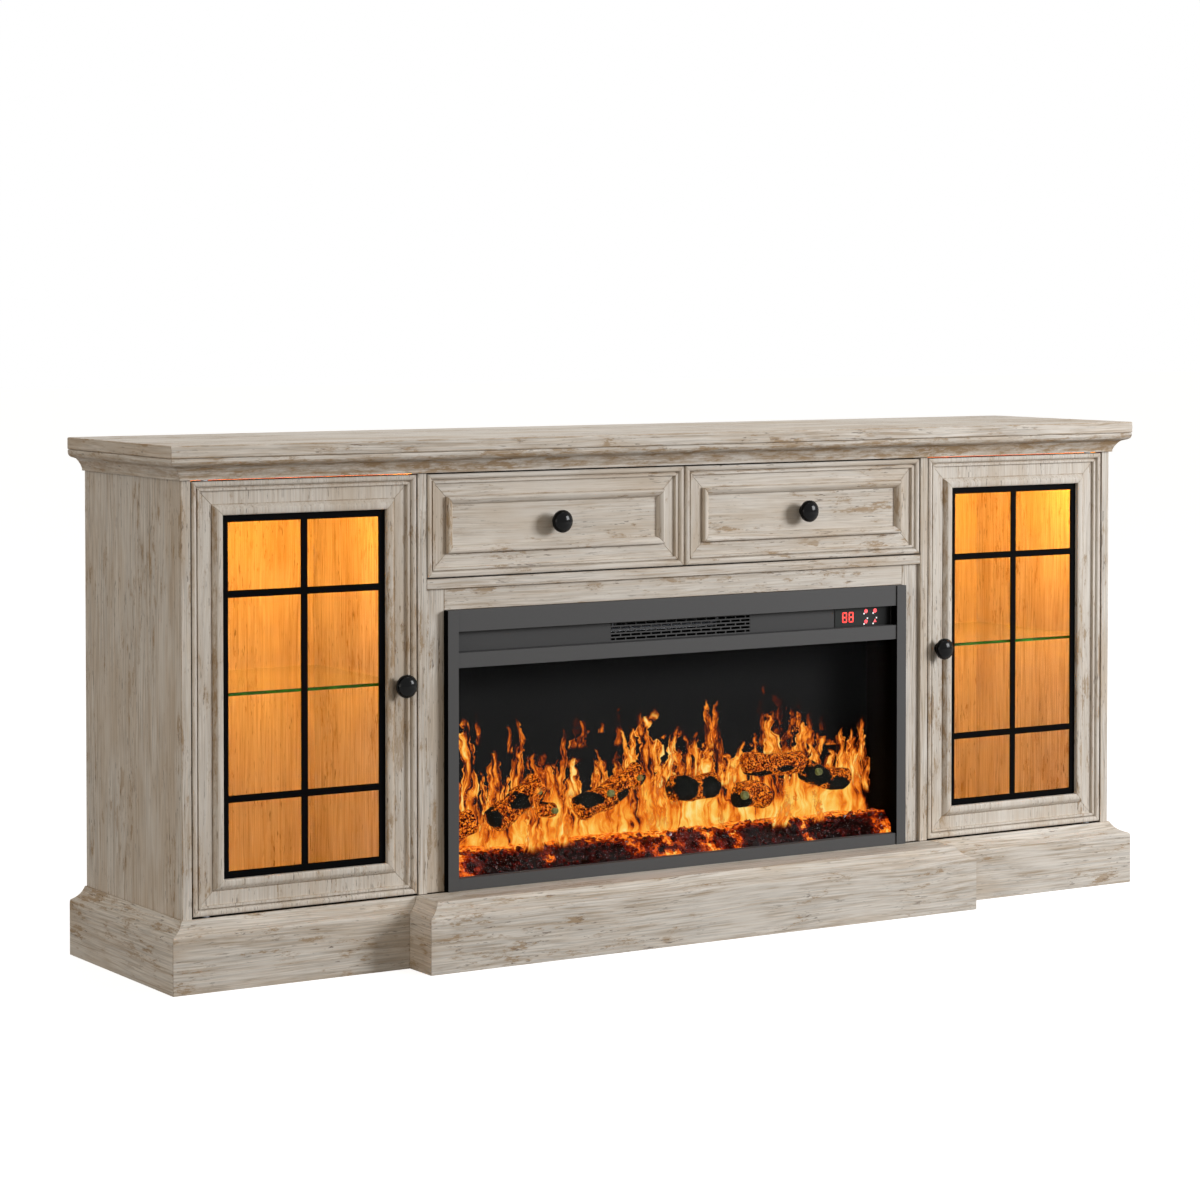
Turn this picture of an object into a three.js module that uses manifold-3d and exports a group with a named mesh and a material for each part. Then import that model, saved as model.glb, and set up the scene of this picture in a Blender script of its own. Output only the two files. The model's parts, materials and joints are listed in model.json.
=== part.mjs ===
// Fireplace TV stand: a washed wood cabinet with two glazed doors, two drawers and an
// electric fireplace insert on a plinth that steps forward in the middle.
// Lengths are in millimetres. x runs to the right, y to the back and z up.
// While it is built, y = 0 is the front of the upright panels and z = 0 is the floor.
import * as THREE from "three";
import { mergeVertices } from "three/addons/utils/BufferGeometryUtils.js";
import Module from "manifold-3d";

const wasm = await Module();
wasm.setup();

// Overall sizes and boards
const bayWidth = 370;
const headerHeight = 32.9;
const drawerRowHeight = 159;
const carcassDepth = 340;
const boardThickness = 15;
const backThickness = 3;
const glueLine = 0.3;
const cutOverrun = 2;

// Top and crown moulding
const topThickness = 18.5;
const topEase = 1.2;
const mouldingReach = 28;
const crownLipReach = 4.5;
const crownLipHeight = 3;
const crownCoveWidth = 10;
const crownCoveHeight = 15.5;
const crownStepWidth = 6;
const crownStepHeight = 2;
const crownRoundWidth = 7;
const crownRoundHeight = 7.5;
const crownFilletHeight = 4.3;
const crownCoveLeanShares = [0.3, 0.6];
const crownRoundLeanShares = [0.85, 0.15];
const railThickness = 18;

// Plinth
const plinthFaceHeight = 77.5;
const plinthRoundWidth = 2;
const plinthRoundHeight = 6.5;
const plinthCoveHeight = 18;
const plinthLipReach = 3;
const plinthRoundLeanShares = [0.1, 0.9];
const plinthCoveLeanShares = [0.74, 0.25];
const centrePlinthOverlap = 2.4;
const centrePlinthStep = 64.5;

// Shelves and the gaps round doors and drawers
const shelfClearHeight = 316;
const shelfThickness = 5;
const shelfSetback = 42;
const shelfBackSpace = 12;
const sideReveal = 1.5;
const endReveal = 1.9;

// Moulded border that doors and drawer fronts share, as insets from the edge and depths behind the front
const frontThickness = 18;
const beadWidth = 9;
const beadDrop = 3;
const quirkWidth = 1.3;
const quirkDepth = 3.8;
const filletWidth = 4.2;
const filletDepth = 1.8;
const flatWidth = 19.5;
const flatDepth = 3.3;
const innerMouldingDepth = 1.6;
const riseLeanShares = [0, 1];
const fallLeanShares = [1, 0];

// Glazed doors
const doorMouldingRise = 8.5;
const doorMouldingFall = 7.5;
const doorInnerDepth = 2.4;
const glassRebate = 8;
const doorGlassThickness = 4;
const grilleThickness = 2.5;
const grilleBarWidth = 10.3;
const grilleSetback = 7;
const grilleMiddleHeight = 286;
const pinInset = 24;
const pinDepth = 8;
const pinRadius = 2.5;
const pinPlay = 0.3;
const pinReach = 9;
const collarRadius = 5.5;

// Drawers
const drawerMouldingRise = 6.5;
const drawerMouldingFall = 6.5;
const drawerPanelDepth = 5;
const drawerBackSpace = 18.7;
const drawerTopClearance = 41;
const drawerWall = 12;
const drawerFloor = 9;
const drawerBottomClearance = 8;
const drawerSideClearance = 12.7;
const runnerHeight = 16;
const runnerTongue = 6;
const runnerPlay = 0.5;
const runnerSetback = 22;
const runnerStart = 20;

// Knobs
const knobRadius = 17.3;
const knobLength = 25;
const knobFlangeRadius = 9.4;
const knobFlangeThickness = 2;
const knobStemRadius = 6;
const knobHeadStart = 9;
const knobHeadDepth = 11.5;
const knobRimThickness = 3.2;
const knobGrooveDepth = 1.2;
const knobDomeSteps = 5;
const knobDomeLeanShares = [0.05, 0.9];
const fallBackLeanShares = [0.8, 0.1];

// Surround of the insert
const surroundSetback = 6;
const surroundStileWidth = 33;
const insertWidth = 856;
const insertHeight = 422;
const insertFrameDepth = 14;
const insertProud = 4.7;
const insertStileWidth = 18.5;
const insertStileProud = 1;
const insertTopRail = 32.5;
const recessHeight = 31.8;
const insertMiddleRail = 22.7;
const insertBottomRail = 18.2;

// Insert front
const fireGlassThickness = 4;
const fireGlassLap = 5;
const panelSheet = 2;
const ventWidth = 262;
const ventSheet = 1.5;
const ventRows = 5;
const ventSlotsPerRow = 14;
const ventSlotGap = 3.3;
const ventSlotHeight = 2.7;
const ventRowPitch = 5.68;
const displayEndSpace = 2.5;
const displayWidth = 111;
const displayThickness = 1;
const displayMargin = 1.5;

// Firebox and what it holds
const fireboxDepth = 170;
const fireboxSheet = 2;
const fireboxSideSpace = 3;
const fireboxTopSpace = 4;
const ductFloorDrop = 10;
const screenSetback = 84;
const screenThickness = 3;
const bedTop = 46;
const bedFrontHeight = 20;
const bedSlopeDepth = 32;
const bedLeanShares = [0.35, 0.8];
const logGrateWidth = 8;
const logGrateHeight = 6;
const logGrateSetback = 46;
const logGrateEndSpace = 30;
const logPegWidth = 6;
const logSides = 10;
const logSteps = 5;
const logTaperShare = 0.86;
const logBendShare = 0.16;
const logKnotShare = 0.1;
const pegShares = [0.3, 0.7];

// Logs as shares of the fire window: across and up at each end, and half the thickness
const logShares = [
  [-0.97, 0.19, -0.84, 0.24, 0.07],
  [-0.78, 0.21, -0.56, 0.4, 0.06],
  [-0.57, 0.27, -0.48, 0.24, 0.055],
  [-0.4, 0.235, -0.105, 0.415, 0.063],
  [0.03, 0.3, 0.245, 0.31, 0.06],
  [0.33, 0.225, 0.485, 0.22, 0.066],
  [0.37, 0.41, 0.655, 0.37, 0.058],
  [0.655, 0.34, 0.875, 0.275, 0.063],
];

// Blower wheel and flame rotor
const wheelLength = 200;
const wheelRadius = 18;
const wheelDisc = 2;
const wheelBladeDepth = 5;
const wheelBladeSheet = 1;
const wheelBlades = 12;
const wheelSetback = 62;
const rotorSetback = 125;
const rotorLift = 42;
const shaftRadius = 3;
const shaftEnd = 2;
const bracketSpace = 2;
const rotorVanes = 20;
const rotorVaneLength = 14;
const rotorVaneReach = 12;
const rotorVaneSheet = 1.2;
const rotorVaneTurn = (2 * Math.PI) / 5;
const shaftPlay = 0.35;
const bracketSheet = 2.5;
const bracketWidth = 26;
const bracketEndSpace = 34;
const bracketHead = 10;

// Lights and cable holes
const ledBarLength = 300;
const ledBarDepth = 14;
const ledBarHeight = 10;
const cableHoleRadius = 30;
const cableHoleHeight = 190;
const backFoot = 60;
const serviceWidth = 500;
const serviceLow = 300;
const serviceHeight = 180;

// Steps of round shapes
const roundSides = 16;
const knobSides = 20;
const curveSteps = 3;

// Heights worked out from the sizes, from the floor up
const plinthShoulderHeight = plinthFaceHeight + plinthRoundHeight;
const plinthHeight = plinthShoulderHeight + plinthCoveHeight;
const shelfTop = plinthHeight + shelfClearHeight;
const insertBottom = plinthHeight + glueLine;
const insertTop = insertBottom + insertHeight;
const deckUnderside = insertTop + headerHeight;
const deckTop = deckUnderside + boardThickness;
const crownBottom = deckTop + drawerRowHeight;
const crownCoveTop = crownLipHeight + crownCoveHeight;
const crownStepTop = crownCoveTop + crownStepHeight;
const crownRoundTop = crownStepTop + crownRoundHeight;
const crownHeight = crownRoundTop + crownFilletHeight;
const topUnderside = crownBottom + crownHeight;
const standHeight = topUnderside + topThickness;

// Widths and depths worked out from the middle outwards
const centreInner = insertWidth / 2 + surroundStileWidth;
const centreOuter = centreInner + boardThickness;
const centrePlinthBase = centreOuter + centrePlinthOverlap;
const sideInner = centreOuter + bayWidth;
const sideOuter = sideInner + boardThickness;
const standWidth = 2 * (sideOuter + mouldingReach);
const backFace = carcassDepth - backThickness;

// Places worked out from those
const flatInset = beadWidth + quirkWidth + filletWidth;
const innerMouldingInset = flatInset + flatWidth;
const doorCrestInset = innerMouldingInset + doorMouldingRise;
const doorFrameWidth = doorCrestInset + doorMouldingFall;
const drawerCrestInset = innerMouldingInset + drawerMouldingRise;
const drawerMouldingEnd = drawerCrestInset + drawerMouldingFall;
const doorWidth = sideInner - centreOuter - 2 * sideReveal;
const doorHeight = crownBottom - plinthHeight - 2 * endReveal;
const drawerWidth = centreInner - 2 * sideReveal;
const drawerHeight = crownBottom - deckTop - 2 * endReveal;
const drawerBoxLength = backFace - drawerBackSpace - frontThickness - glueLine;
const drawerBoxHeight = drawerRowHeight - drawerBottomClearance - drawerTopClearance;
const dividerHalf = boardThickness / 2;
const drawerOuter = centreInner - drawerSideClearance;
const drawerInner = dividerHalf + drawerSideClearance;
const recessTop = insertTop - insertTopRail;
const recessBottom = recessTop - recessHeight;
const windowTop = recessBottom - insertMiddleRail;
const windowBottom = insertBottom + insertBottomRail;
const windowHalf = insertWidth / 2 - insertStileWidth;
const displayLeft = windowHalf - displayEndSpace - displayWidth;
const insertBack = insertFrameDepth - insertProud + insertStileProud;
const fireboxFront = insertBack + glueLine;
const fireboxBack = fireboxFront + fireboxDepth;
const fireboxHalf = insertWidth / 2 - fireboxSideSpace;
const fireboxTop = insertTop - fireboxTopSpace;
const chamberHalf = fireboxHalf - fireboxSheet;
const chamberFloor = insertBottom + fireboxSheet;
const ductFloor = recessBottom - ductFloorDrop;
const bedDeck = chamberFloor + bedTop;
const bedFront = fireboxFront + fireGlassThickness + glueLine;
const ventHalf = ventWidth / 2;
const screenFront = fireboxFront + screenSetback;
const wheelBracketInner = wheelLength / 2 + bracketSpace;
const wheelShaftHalf = wheelBracketInner + bracketSheet + shaftEnd;
const wheelMiddleY = fireboxFront + wheelSetback;
const wheelMiddleZ = (ductFloor + fireboxTop) / 2;
const rotorBracketInner = chamberHalf - bracketEndSpace;
const rotorShaftHalf = rotorBracketInner + bracketSheet + shaftEnd;
const rotorMiddleY = fireboxFront + rotorSetback;
const rotorMiddleZ = chamberFloor + rotorLift;

// Finishes
const washedWood = { color: 0xb3a999, roughness: 0.72, metalness: 0 };
const rawWood = { color: 0xa88f70, roughness: 0.8, metalness: 0 };
const clearGlass = { color: 0xdfe8e6, roughness: 0.05, metalness: 0, transparent: true, opacity: 0.3 };
const blackMetal = { color: 0x15171a, roughness: 0.45, metalness: 0.5 };
const charcoalMetal = { color: 0x55565a, roughness: 0.55, metalness: 0.4 };
const glossBlack = { color: 0x0c0c0e, roughness: 0.15, metalness: 0.2 };
const bareSteel = { color: 0x9fa3a8, roughness: 0.35, metalness: 0.9 };
const darkLens = { color: 0x1d1d20, roughness: 0.12, metalness: 0 };
const warmLens = { color: 0xffd9a0, roughness: 0.4, metalness: 0 };
const charredResin = { color: 0x2a1c14, roughness: 0.85, metalness: 0 };
const emberResin = { color: 0x7a2a12, roughness: 0.3, metalness: 0 };
const flameSheet = { color: 0x3a2418, roughness: 0.5, metalness: 0 };

// A closed mesh with shared corners, no flat triangles and its faces pointing out
function closedMesh(geometry) {
  const bare = geometry.clone();
  const extras = Object.keys(bare.attributes).filter((key) => key !== "position");
  extras.forEach((key) => bare.deleteAttribute(key));
  const merged = mergeVertices(bare);
  const corners = Array.from(merged.index.array);
  const kept = [];
  const [a, b, c] = [new THREE.Vector3(), new THREE.Vector3(), new THREE.Vector3()];
  let volume = 0;
  for (let i = 0; i < corners.length; i += 3) {
    const face = corners.slice(i, i + 3);
    if (new Set(face).size < 3) continue;
    kept.push(face);
    [a, b, c].forEach((corner, k) => corner.fromBufferAttribute(merged.attributes.position, face[k]));
    volume += a.dot(b.cross(c));
  }
  const outward = volume < 0 ? kept.map((face) => face.reverse()) : kept;
  merged.setIndex(outward.flat());
  merged.computeVertexNormals();
  return merged;
}

// The same mesh as a body that can be joined and cut
function bodyOf(geometry) {
  const mesh = closedMesh(geometry);
  const vertProperties = new Float32Array(mesh.attributes.position.array);
  const triVerts = new Uint32Array(mesh.index.array);
  return new wasm.Manifold(new wasm.Mesh({ numProp: 3, vertProperties, triVerts }));
}

function geometryOf(body) {
  const mesh = body.getMesh();
  const geometry = new THREE.BufferGeometry();
  geometry.setAttribute("position", new THREE.BufferAttribute(new Float32Array(mesh.vertProperties), 3));
  geometry.setIndex(new THREE.BufferAttribute(new Uint32Array(mesh.triVerts), 1));
  return geometry;
}

function join(first, ...others) {
  return geometryOf(others.reduce((body, other) => body.add(bodyOf(other)), bodyOf(first)));
}

function cut(first, ...others) {
  return geometryOf(others.reduce((body, other) => body.subtract(bodyOf(other)), bodyOf(first)));
}

// A box from its [low, high] pairs
function block(x, y, z) {
  const box = new THREE.BoxGeometry(x[1] - x[0], y[1] - y[0], z[1] - z[0]);
  return box.translate((x[0] + x[1]) / 2, (y[0] + y[1]) / 2, (z[0] + z[1]) / 2);
}

// A pair of values on one side of the middle: side is -1 for left and 1 for right
function onSide(side, near, far) {
  return side < 0 ? [-far, -near] : [near, far];
}

// A round bar along z or x
function barAlongZ(radius, x, y, low, high) {
  const bar = new THREE.CylinderGeometry(radius, radius, high - low, roundSides).rotateX(Math.PI / 2);
  return bar.translate(x, y, (low + high) / 2);
}

function barAlongX(radius, low, high, y, z) {
  const bar = new THREE.CylinderGeometry(radius, radius, high - low, roundSides).rotateZ(Math.PI / 2);
  return bar.translate((low + high) / 2, y, z);
}

function rectangle(x, z) {
  return [[x[0], z[0]], [x[1], z[0]], [x[1], z[1]], [x[0], z[1]]].map(([u, v]) => new THREE.Vector2(u, v));
}

// A plate in the x-z plane from an outline, between y = front and y = front + thickness
function uprightSlab(outline, front, thickness) {
  const shape = new THREE.Shape(outline);
  const slab = new THREE.ExtrudeGeometry(shape, { depth: thickness, bevelEnabled: false });
  return slab.rotateX(Math.PI / 2).translate(0, front + thickness, 0);
}

// The same plate with holes cut right through
function uprightPlate(outline, holes, front, thickness) {
  const cutters = holes.map((hole) => uprightSlab(hole, front - cutOverrun, thickness + 2 * cutOverrun));
  return cut(uprightSlab(outline, front, thickness), ...cutters);
}

// Points of a curve from one profile point to the next, without the first
function curve(from, to, leanShares, steps = curveSteps) {
  const pull = from.map((value, axis) => value + (to[axis] - value) * leanShares[axis]);
  const ends = [from, pull, to].map(([u, v]) => new THREE.Vector2(u, v));
  const points = new THREE.QuadraticBezierCurve(...ends).getPoints(steps).slice(1);
  return points.map((point) => [point.x, point.y]);
}

// A moulding along x with its back at y = 0; profile points are [reach, height].
// A mitre of 1 is an outer corner, -1 an inner corner and 0 a square end.
function mouldingRun(profile, length, startMitre, endMitre) {
  const shape = new THREE.Shape(profile.map(([reach, height]) => new THREE.Vector2(reach, height)));
  const geometry = new THREE.ExtrudeGeometry(shape, { depth: length, bevelEnabled: false });
  const place = geometry.attributes.position;
  for (let i = 0; i < place.count; i += 1) {
    const reach = place.getX(i);
    const start = glueLine / 2 - reach * startMitre;
    const end = length - glueLine / 2 + reach * endMitre;
    place.setXYZ(i, place.getZ(i) > length / 2 ? end : start, -reach, place.getY(i));
  }
  return geometry;
}

// A rectangular frame with mitred corners in the x-z plane, centred on x = z = 0.
// Profile points are [inset from the edge, depth]. Four turned steps give a square frame,
// whose corners then move apart to the rectangle.
function mitredFrame(profile, width, height) {
  const half = Math.min(width, height) / 2;
  const points = profile.map(([inset, depth]) => new THREE.Vector2((half - inset) * Math.SQRT2, depth));
  const frame = new THREE.LatheGeometry(points, 4).rotateY(Math.PI / 4);
  const place = frame.attributes.position;
  for (let i = 0; i < place.count; i += 1) {
    const [x, z] = [place.getX(i), place.getZ(i)];
    const middle = Math.abs(x) + Math.abs(z) < glueLine;
    place.setX(i, middle ? 0 : x + Math.sign(x) * (width / 2 - half));
    place.setZ(i, middle ? 0 : z + Math.sign(z) * (height / 2 - half));
  }
  return frame;
}

// Adds a named mesh to a group. The geometry comes in the group's own frame and is
// centred on its own box, so the mesh's position says where the piece is.
function addPiece(group, name, finish, geometry) {
  const centred = closedMesh(geometry);
  centred.computeBoundingBox();
  const centre = centred.boundingBox.getCenter(new THREE.Vector3());
  const mesh = new THREE.Mesh(centred.translate(-centre.x, -centre.y, -centre.z));
  mesh.material = new THREE.MeshStandardMaterial(finish);
  mesh.name = name;
  mesh.position.copy(centre);
  group.add(mesh);
  return mesh;
}

// Adds a moulding that is turned about z and starts at a place
function addMoulding(group, name, geometry, x, y, turn) {
  const mesh = new THREE.Mesh(closedMesh(geometry), new THREE.MeshStandardMaterial(washedWood));
  mesh.name = name;
  mesh.position.set(x, y, 0);
  mesh.rotation.z = turn;
  group.add(mesh);
  return mesh;
}

const sides = [
  { side: -1, word: "left" },
  { side: 1, word: "right" },
];

function crownProfile() {
  const lip = [crownLipReach, crownLipHeight];
  const cove = [crownLipReach + crownCoveWidth, crownCoveTop];
  const step = [cove[0] + crownStepWidth, crownStepTop];
  const shoulder = [step[0] + crownRoundWidth, crownRoundTop];
  const points = [
    [glueLine, 0], [crownLipReach, 0], lip,
    ...curve(lip, cove, crownCoveLeanShares), step,
    ...curve(step, shoulder, crownRoundLeanShares),
    [shoulder[0], crownHeight - glueLine], [glueLine, crownHeight - glueLine],
  ];
  return points.map(([reach, height]) => [reach, crownBottom + height]);
}

function plinthProfile() {
  const edge = [mouldingReach, plinthFaceHeight];
  const shoulder = [mouldingReach - plinthRoundWidth, plinthShoulderHeight];
  const lip = [plinthLipReach, plinthHeight];
  return [
    [glueLine, 0], [mouldingReach, 0], edge,
    ...curve(edge, shoulder, plinthRoundLeanShares, 2),
    ...curve(shoulder, lip, plinthCoveLeanShares, 5),
    [glueLine, plinthHeight],
  ];
}

// The hole that a hinge pin turns or sits in, in the cabinet's frame
function pinHole(side, low, high) {
  const place = side * (sideInner - sideReveal - pinInset);
  return barAlongZ(pinRadius + pinPlay, place, pinDepth, low, high);
}

function addTop(stand) {
  const half = standWidth / 2;
  const outline = rectangle(
    [-half + topEase, half - topEase],
    [-carcassDepth + topEase, mouldingReach - topEase],
  );
  const slab = new THREE.ExtrudeGeometry(new THREE.Shape(outline), {
    depth: topThickness - 2 * topEase,
    bevelThickness: topEase,
    bevelSize: topEase,
    bevelSegments: 1,
  });
  slab.rotateX(Math.PI).translate(0, 0, standHeight - topEase);
  addPiece(stand, "top_panel", washedWood, slab);

  const run = mouldingRun(crownProfile(), 2 * sideOuter, 1, 1).translate(-sideOuter, 0, 0);
  const rail = block(
    [-sideInner + glueLine, sideInner - glueLine],
    [-cutOverrun, railThickness],
    [crownBottom, topUnderside - glueLine],
  );
  const holeTop = crownBottom + pinReach + pinPlay;
  const holes = sides.map(({ side }) => pinHole(side, crownBottom - cutOverrun, holeTop));
  addPiece(stand, "crown_front", washedWood, cut(join(run, rail), ...holes));
  const leftRun = mouldingRun(crownProfile(), carcassDepth, 0, 1);
  addMoulding(stand, "crown_left", leftRun, -sideOuter, carcassDepth, -Math.PI / 2);
  const rightRun = mouldingRun(crownProfile(), carcassDepth, 1, 0);
  addMoulding(stand, "crown_right", rightRun, sideOuter, 0, Math.PI / 2);
}

function addCarcass(stand) {
  const underTop = topUnderside - glueLine;
  const boardDepth = [0, backFace - glueLine];
  sides.forEach(({ side, word }) => {
    const panel = block(onSide(side, sideInner, sideOuter), [0, carcassDepth], [0, underTop]);
    addPiece(stand, `side_panel_${word}`, washedWood, panel);
    const uprightRange = [plinthHeight + glueLine, underTop];
    const upright = block(onSide(side, centreInner, centreOuter), boardDepth, uprightRange);
    const railNotch = block(
      onSide(side, centreInner - cutOverrun, centreOuter + cutOverrun),
      [-cutOverrun, railThickness + glueLine],
      [crownBottom - glueLine, standHeight],
    );
    addPiece(stand, `partition_${word}`, washedWood, cut(upright, railNotch));
    const shelf = block(
      onSide(side, centreOuter + glueLine, sideInner - glueLine),
      [shelfSetback, backFace - shelfBackSpace],
      [shelfTop - shelfThickness, shelfTop],
    );
    addPiece(stand, `glass_shelf_${word}`, clearGlass, shelf);
    const bayMiddle = (sideInner + centreOuter) / 2;
    const bar = block(
      onSide(side, bayMiddle - ledBarLength / 2, bayMiddle + ledBarLength / 2),
      [railThickness + glueLine, railThickness + glueLine + ledBarDepth],
      [underTop - ledBarHeight, underTop],
    );
    addPiece(stand, `led_bar_${word}`, warmLens, bar);
  });

  const betweenSides = [-sideInner + glueLine, sideInner - glueLine];
  const floorBoard = block(betweenSides, boardDepth, [plinthHeight - boardThickness, plinthHeight]);
  const floorHoles = sides.map(({ side }) => (
    pinHole(side, plinthHeight - pinReach - pinPlay, plinthHeight + cutOverrun)
  ));
  addPiece(stand, "bottom_panel", washedWood, cut(floorBoard, ...floorHoles));

  const betweenPartitions = [-centreInner + glueLine, centreInner - glueLine];
  addPiece(stand, "drawer_deck", washedWood, block(betweenPartitions, boardDepth, [deckUnderside, deckTop]));
  const divider = block(
    [-dividerHalf, dividerHalf],
    [railThickness + glueLine, backFace - glueLine],
    [deckTop + glueLine, underTop],
  );
  addPiece(stand, "drawer_divider", rawWood, divider);

  const backBoard = rectangle(betweenSides, [backFoot, underTop]);
  const cableHoles = sides.map(({ side }) => {
    const hole = new THREE.Path();
    hole.absarc(side * (sideInner + centreOuter) / 2, cableHoleHeight, cableHoleRadius, 0, 2 * Math.PI);
    return hole.getPoints(roundSides / 2).slice(1);
  });
  const service = rectangle([-serviceWidth / 2, serviceWidth / 2], [serviceLow, serviceLow + serviceHeight]);
  const back = uprightPlate(backBoard, [...cableHoles, service], backFace, backThickness);
  addPiece(stand, "back_panel", rawWood, back);
}

function addPlinth(stand) {
  const profile = plinthProfile();
  const frontLength = sideOuter - centrePlinthBase;
  const turn = Math.PI / 2;
  addMoulding(stand, "plinth_front_left", mouldingRun(profile, frontLength, 1, -1), -sideOuter, 0, 0);
  addMoulding(stand, "plinth_front_right", mouldingRun(profile, frontLength, -1, 1), centrePlinthBase, 0, 0);
  const leftSide = mouldingRun(profile, carcassDepth, 0, 1);
  addMoulding(stand, "plinth_side_left", leftSide, -sideOuter, carcassDepth, -turn);
  const rightSide = mouldingRun(profile, carcassDepth, 1, 0);
  addMoulding(stand, "plinth_side_right", rightSide, sideOuter, 0, turn);
  const centreRun = mouldingRun(profile, 2 * centrePlinthBase, 1, 1);
  addMoulding(stand, "plinth_centre", centreRun, -centrePlinthBase, -centrePlinthStep, 0);
  const leftReturn = mouldingRun(profile, centrePlinthStep, -1, 1);
  addMoulding(stand, "plinth_return_left", leftReturn, -centrePlinthBase, 0, -turn);
  const rightReturn = mouldingRun(profile, centrePlinthStep, 1, -1);
  addMoulding(stand, "plinth_return_right", rightReturn, centrePlinthBase, -centrePlinthStep, turn);
  const ledge = block(
    [-centrePlinthBase, centrePlinthBase],
    [-centrePlinthStep, -glueLine],
    [plinthHeight - boardThickness, plinthHeight],
  );
  addPiece(stand, "plinth_ledge", washedWood, ledge);
}

function addSurround(stand) {
  const depth = [surroundSetback, surroundSetback + boardThickness];
  const opening = insertWidth / 2 + glueLine;
  const low = plinthHeight + glueLine;
  const high = deckUnderside - glueLine;
  sides.forEach(({ side, word }) => {
    const stile = block(onSide(side, opening, centreInner - glueLine), depth, [low, high]);
    addPiece(stand, `fireplace_stile_${word}`, washedWood, stile);
  });
  const header = block([-opening + glueLine, opening - glueLine], depth, [insertTop + glueLine, high]);
  addPiece(stand, "fireplace_header", washedWood, header);
}

// The shared moulded border, from the back of the outer edge to the start of the inner moulding
function borderProfile() {
  const edge = [0, beadDrop];
  const crest = [beadWidth / 2, 0];
  const quirk = [beadWidth, quirkDepth];
  const fillet = beadWidth + quirkWidth;
  return [
    [0, frontThickness], edge,
    ...curve(edge, crest, riseLeanShares), ...curve(crest, quirk, fallLeanShares),
    [fillet, quirkDepth], [fillet, filletDepth],
    [flatInset, filletDepth], [flatInset, flatDepth],
    [innerMouldingInset, flatDepth], [innerMouldingInset, innerMouldingDepth],
  ];
}

// A knob whose foot sits at y = foot, with its axis towards the front
function knobShape(x, foot, z) {
  const neck = [knobStemRadius, knobHeadStart];
  const rim = [knobRadius, knobLength - knobHeadDepth];
  const groove = [knobRadius - knobGrooveDepth, rim[1] + knobRimThickness];
  const profile = [
    [0, 0], [knobFlangeRadius, 0], [knobFlangeRadius, knobFlangeThickness],
    ...curve([knobFlangeRadius, knobFlangeThickness], neck, fallBackLeanShares),
    rim, [knobRadius, groove[1]], groove,
    ...curve(groove, [0, knobLength], knobDomeLeanShares, knobDomeSteps),
  ];
  const points = profile.map(([radius, reach]) => new THREE.Vector2(radius, -reach));
  return new THREE.LatheGeometry(points, knobSides).translate(x, foot, z);
}

function addDoor(stand, side, word) {
  const door = new THREE.Group();
  const bottom = plinthHeight + endReveal;
  door.position.set(side * (centreOuter + sideReveal + doorWidth / 2), 0, bottom + doorHeight / 2);
  stand.add(door);
  const [halfWidth, halfHeight] = [doorWidth / 2, doorHeight / 2];
  const glassFront = grilleSetback + grilleThickness;
  const crest = [doorCrestInset, 0];
  const inner = [doorFrameWidth, doorInnerDepth];
  const rebate = doorFrameWidth - glassRebate;
  const border = borderProfile();
  const profile = [
    ...border, ...curve(border.at(-1), crest, riseLeanShares), ...curve(crest, inner, fallLeanShares),
    [doorFrameWidth, glassFront], [rebate, glassFront], [rebate, frontThickness], border[0],
  ];
  const pinPlace = side * (halfWidth - pinInset);
  const holeDepth = pinReach + pinPlay;
  const holeRadius = pinRadius + pinPlay;
  const holes = [
    barAlongZ(holeRadius, pinPlace, pinDepth, -halfHeight - cutOverrun, -halfHeight + holeDepth),
    barAlongZ(holeRadius, pinPlace, pinDepth, halfHeight - holeDepth, halfHeight + cutOverrun),
  ];
  const frame = mitredFrame(profile, doorWidth, doorHeight);
  addPiece(door, `${word}_door_frame`, washedWood, cut(frame, ...holes));

  const [outerX, outerZ] = [halfWidth, halfHeight].map((half) => half - doorFrameWidth - glueLine);
  const [innerX, innerZ] = [outerX, outerZ].map((outer) => outer - grilleBarWidth);
  const halfBar = grilleBarWidth / 2;
  const halfMiddle = grilleMiddleHeight / 2;
  const columns = [[-innerX, -halfBar], [halfBar, innerX]];
  const rows = [
    [-innerZ, -halfMiddle - grilleBarWidth], [-halfMiddle, halfMiddle],
    [halfMiddle + grilleBarWidth, innerZ],
  ];
  const windows = columns.flatMap((x) => rows.map((z) => rectangle(x, z)));
  const outline = rectangle([-outerX, outerX], [-outerZ, outerZ]);
  const grille = uprightPlate(outline, windows, grilleSetback, grilleThickness);
  addPiece(door, `${word}_door_grille`, blackMetal, grille);
  const [glassX, glassZ] = [halfWidth, halfHeight].map((half) => half - rebate - glueLine);
  const glassDepth = [glassFront + glueLine, glassFront + glueLine + doorGlassThickness];
  addPiece(door, `${word}_door_glass`, clearGlass, block([-glassX, glassX], glassDepth, [-glassZ, glassZ]));
  const knobInset = (flatInset + innerMouldingInset) / 2;
  const knob = knobShape(-side * (halfWidth - knobInset), flatDepth - glueLine, 0);
  addPiece(door, `${word}_door_knob`, glossBlack, knob);

  addHingePin(stand, `hinge_pin_${word}_bottom`, side, plinthHeight, bottom);
  addHingePin(stand, `hinge_pin_${word}_top`, side, crownBottom - endReveal, crownBottom);
}

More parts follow.
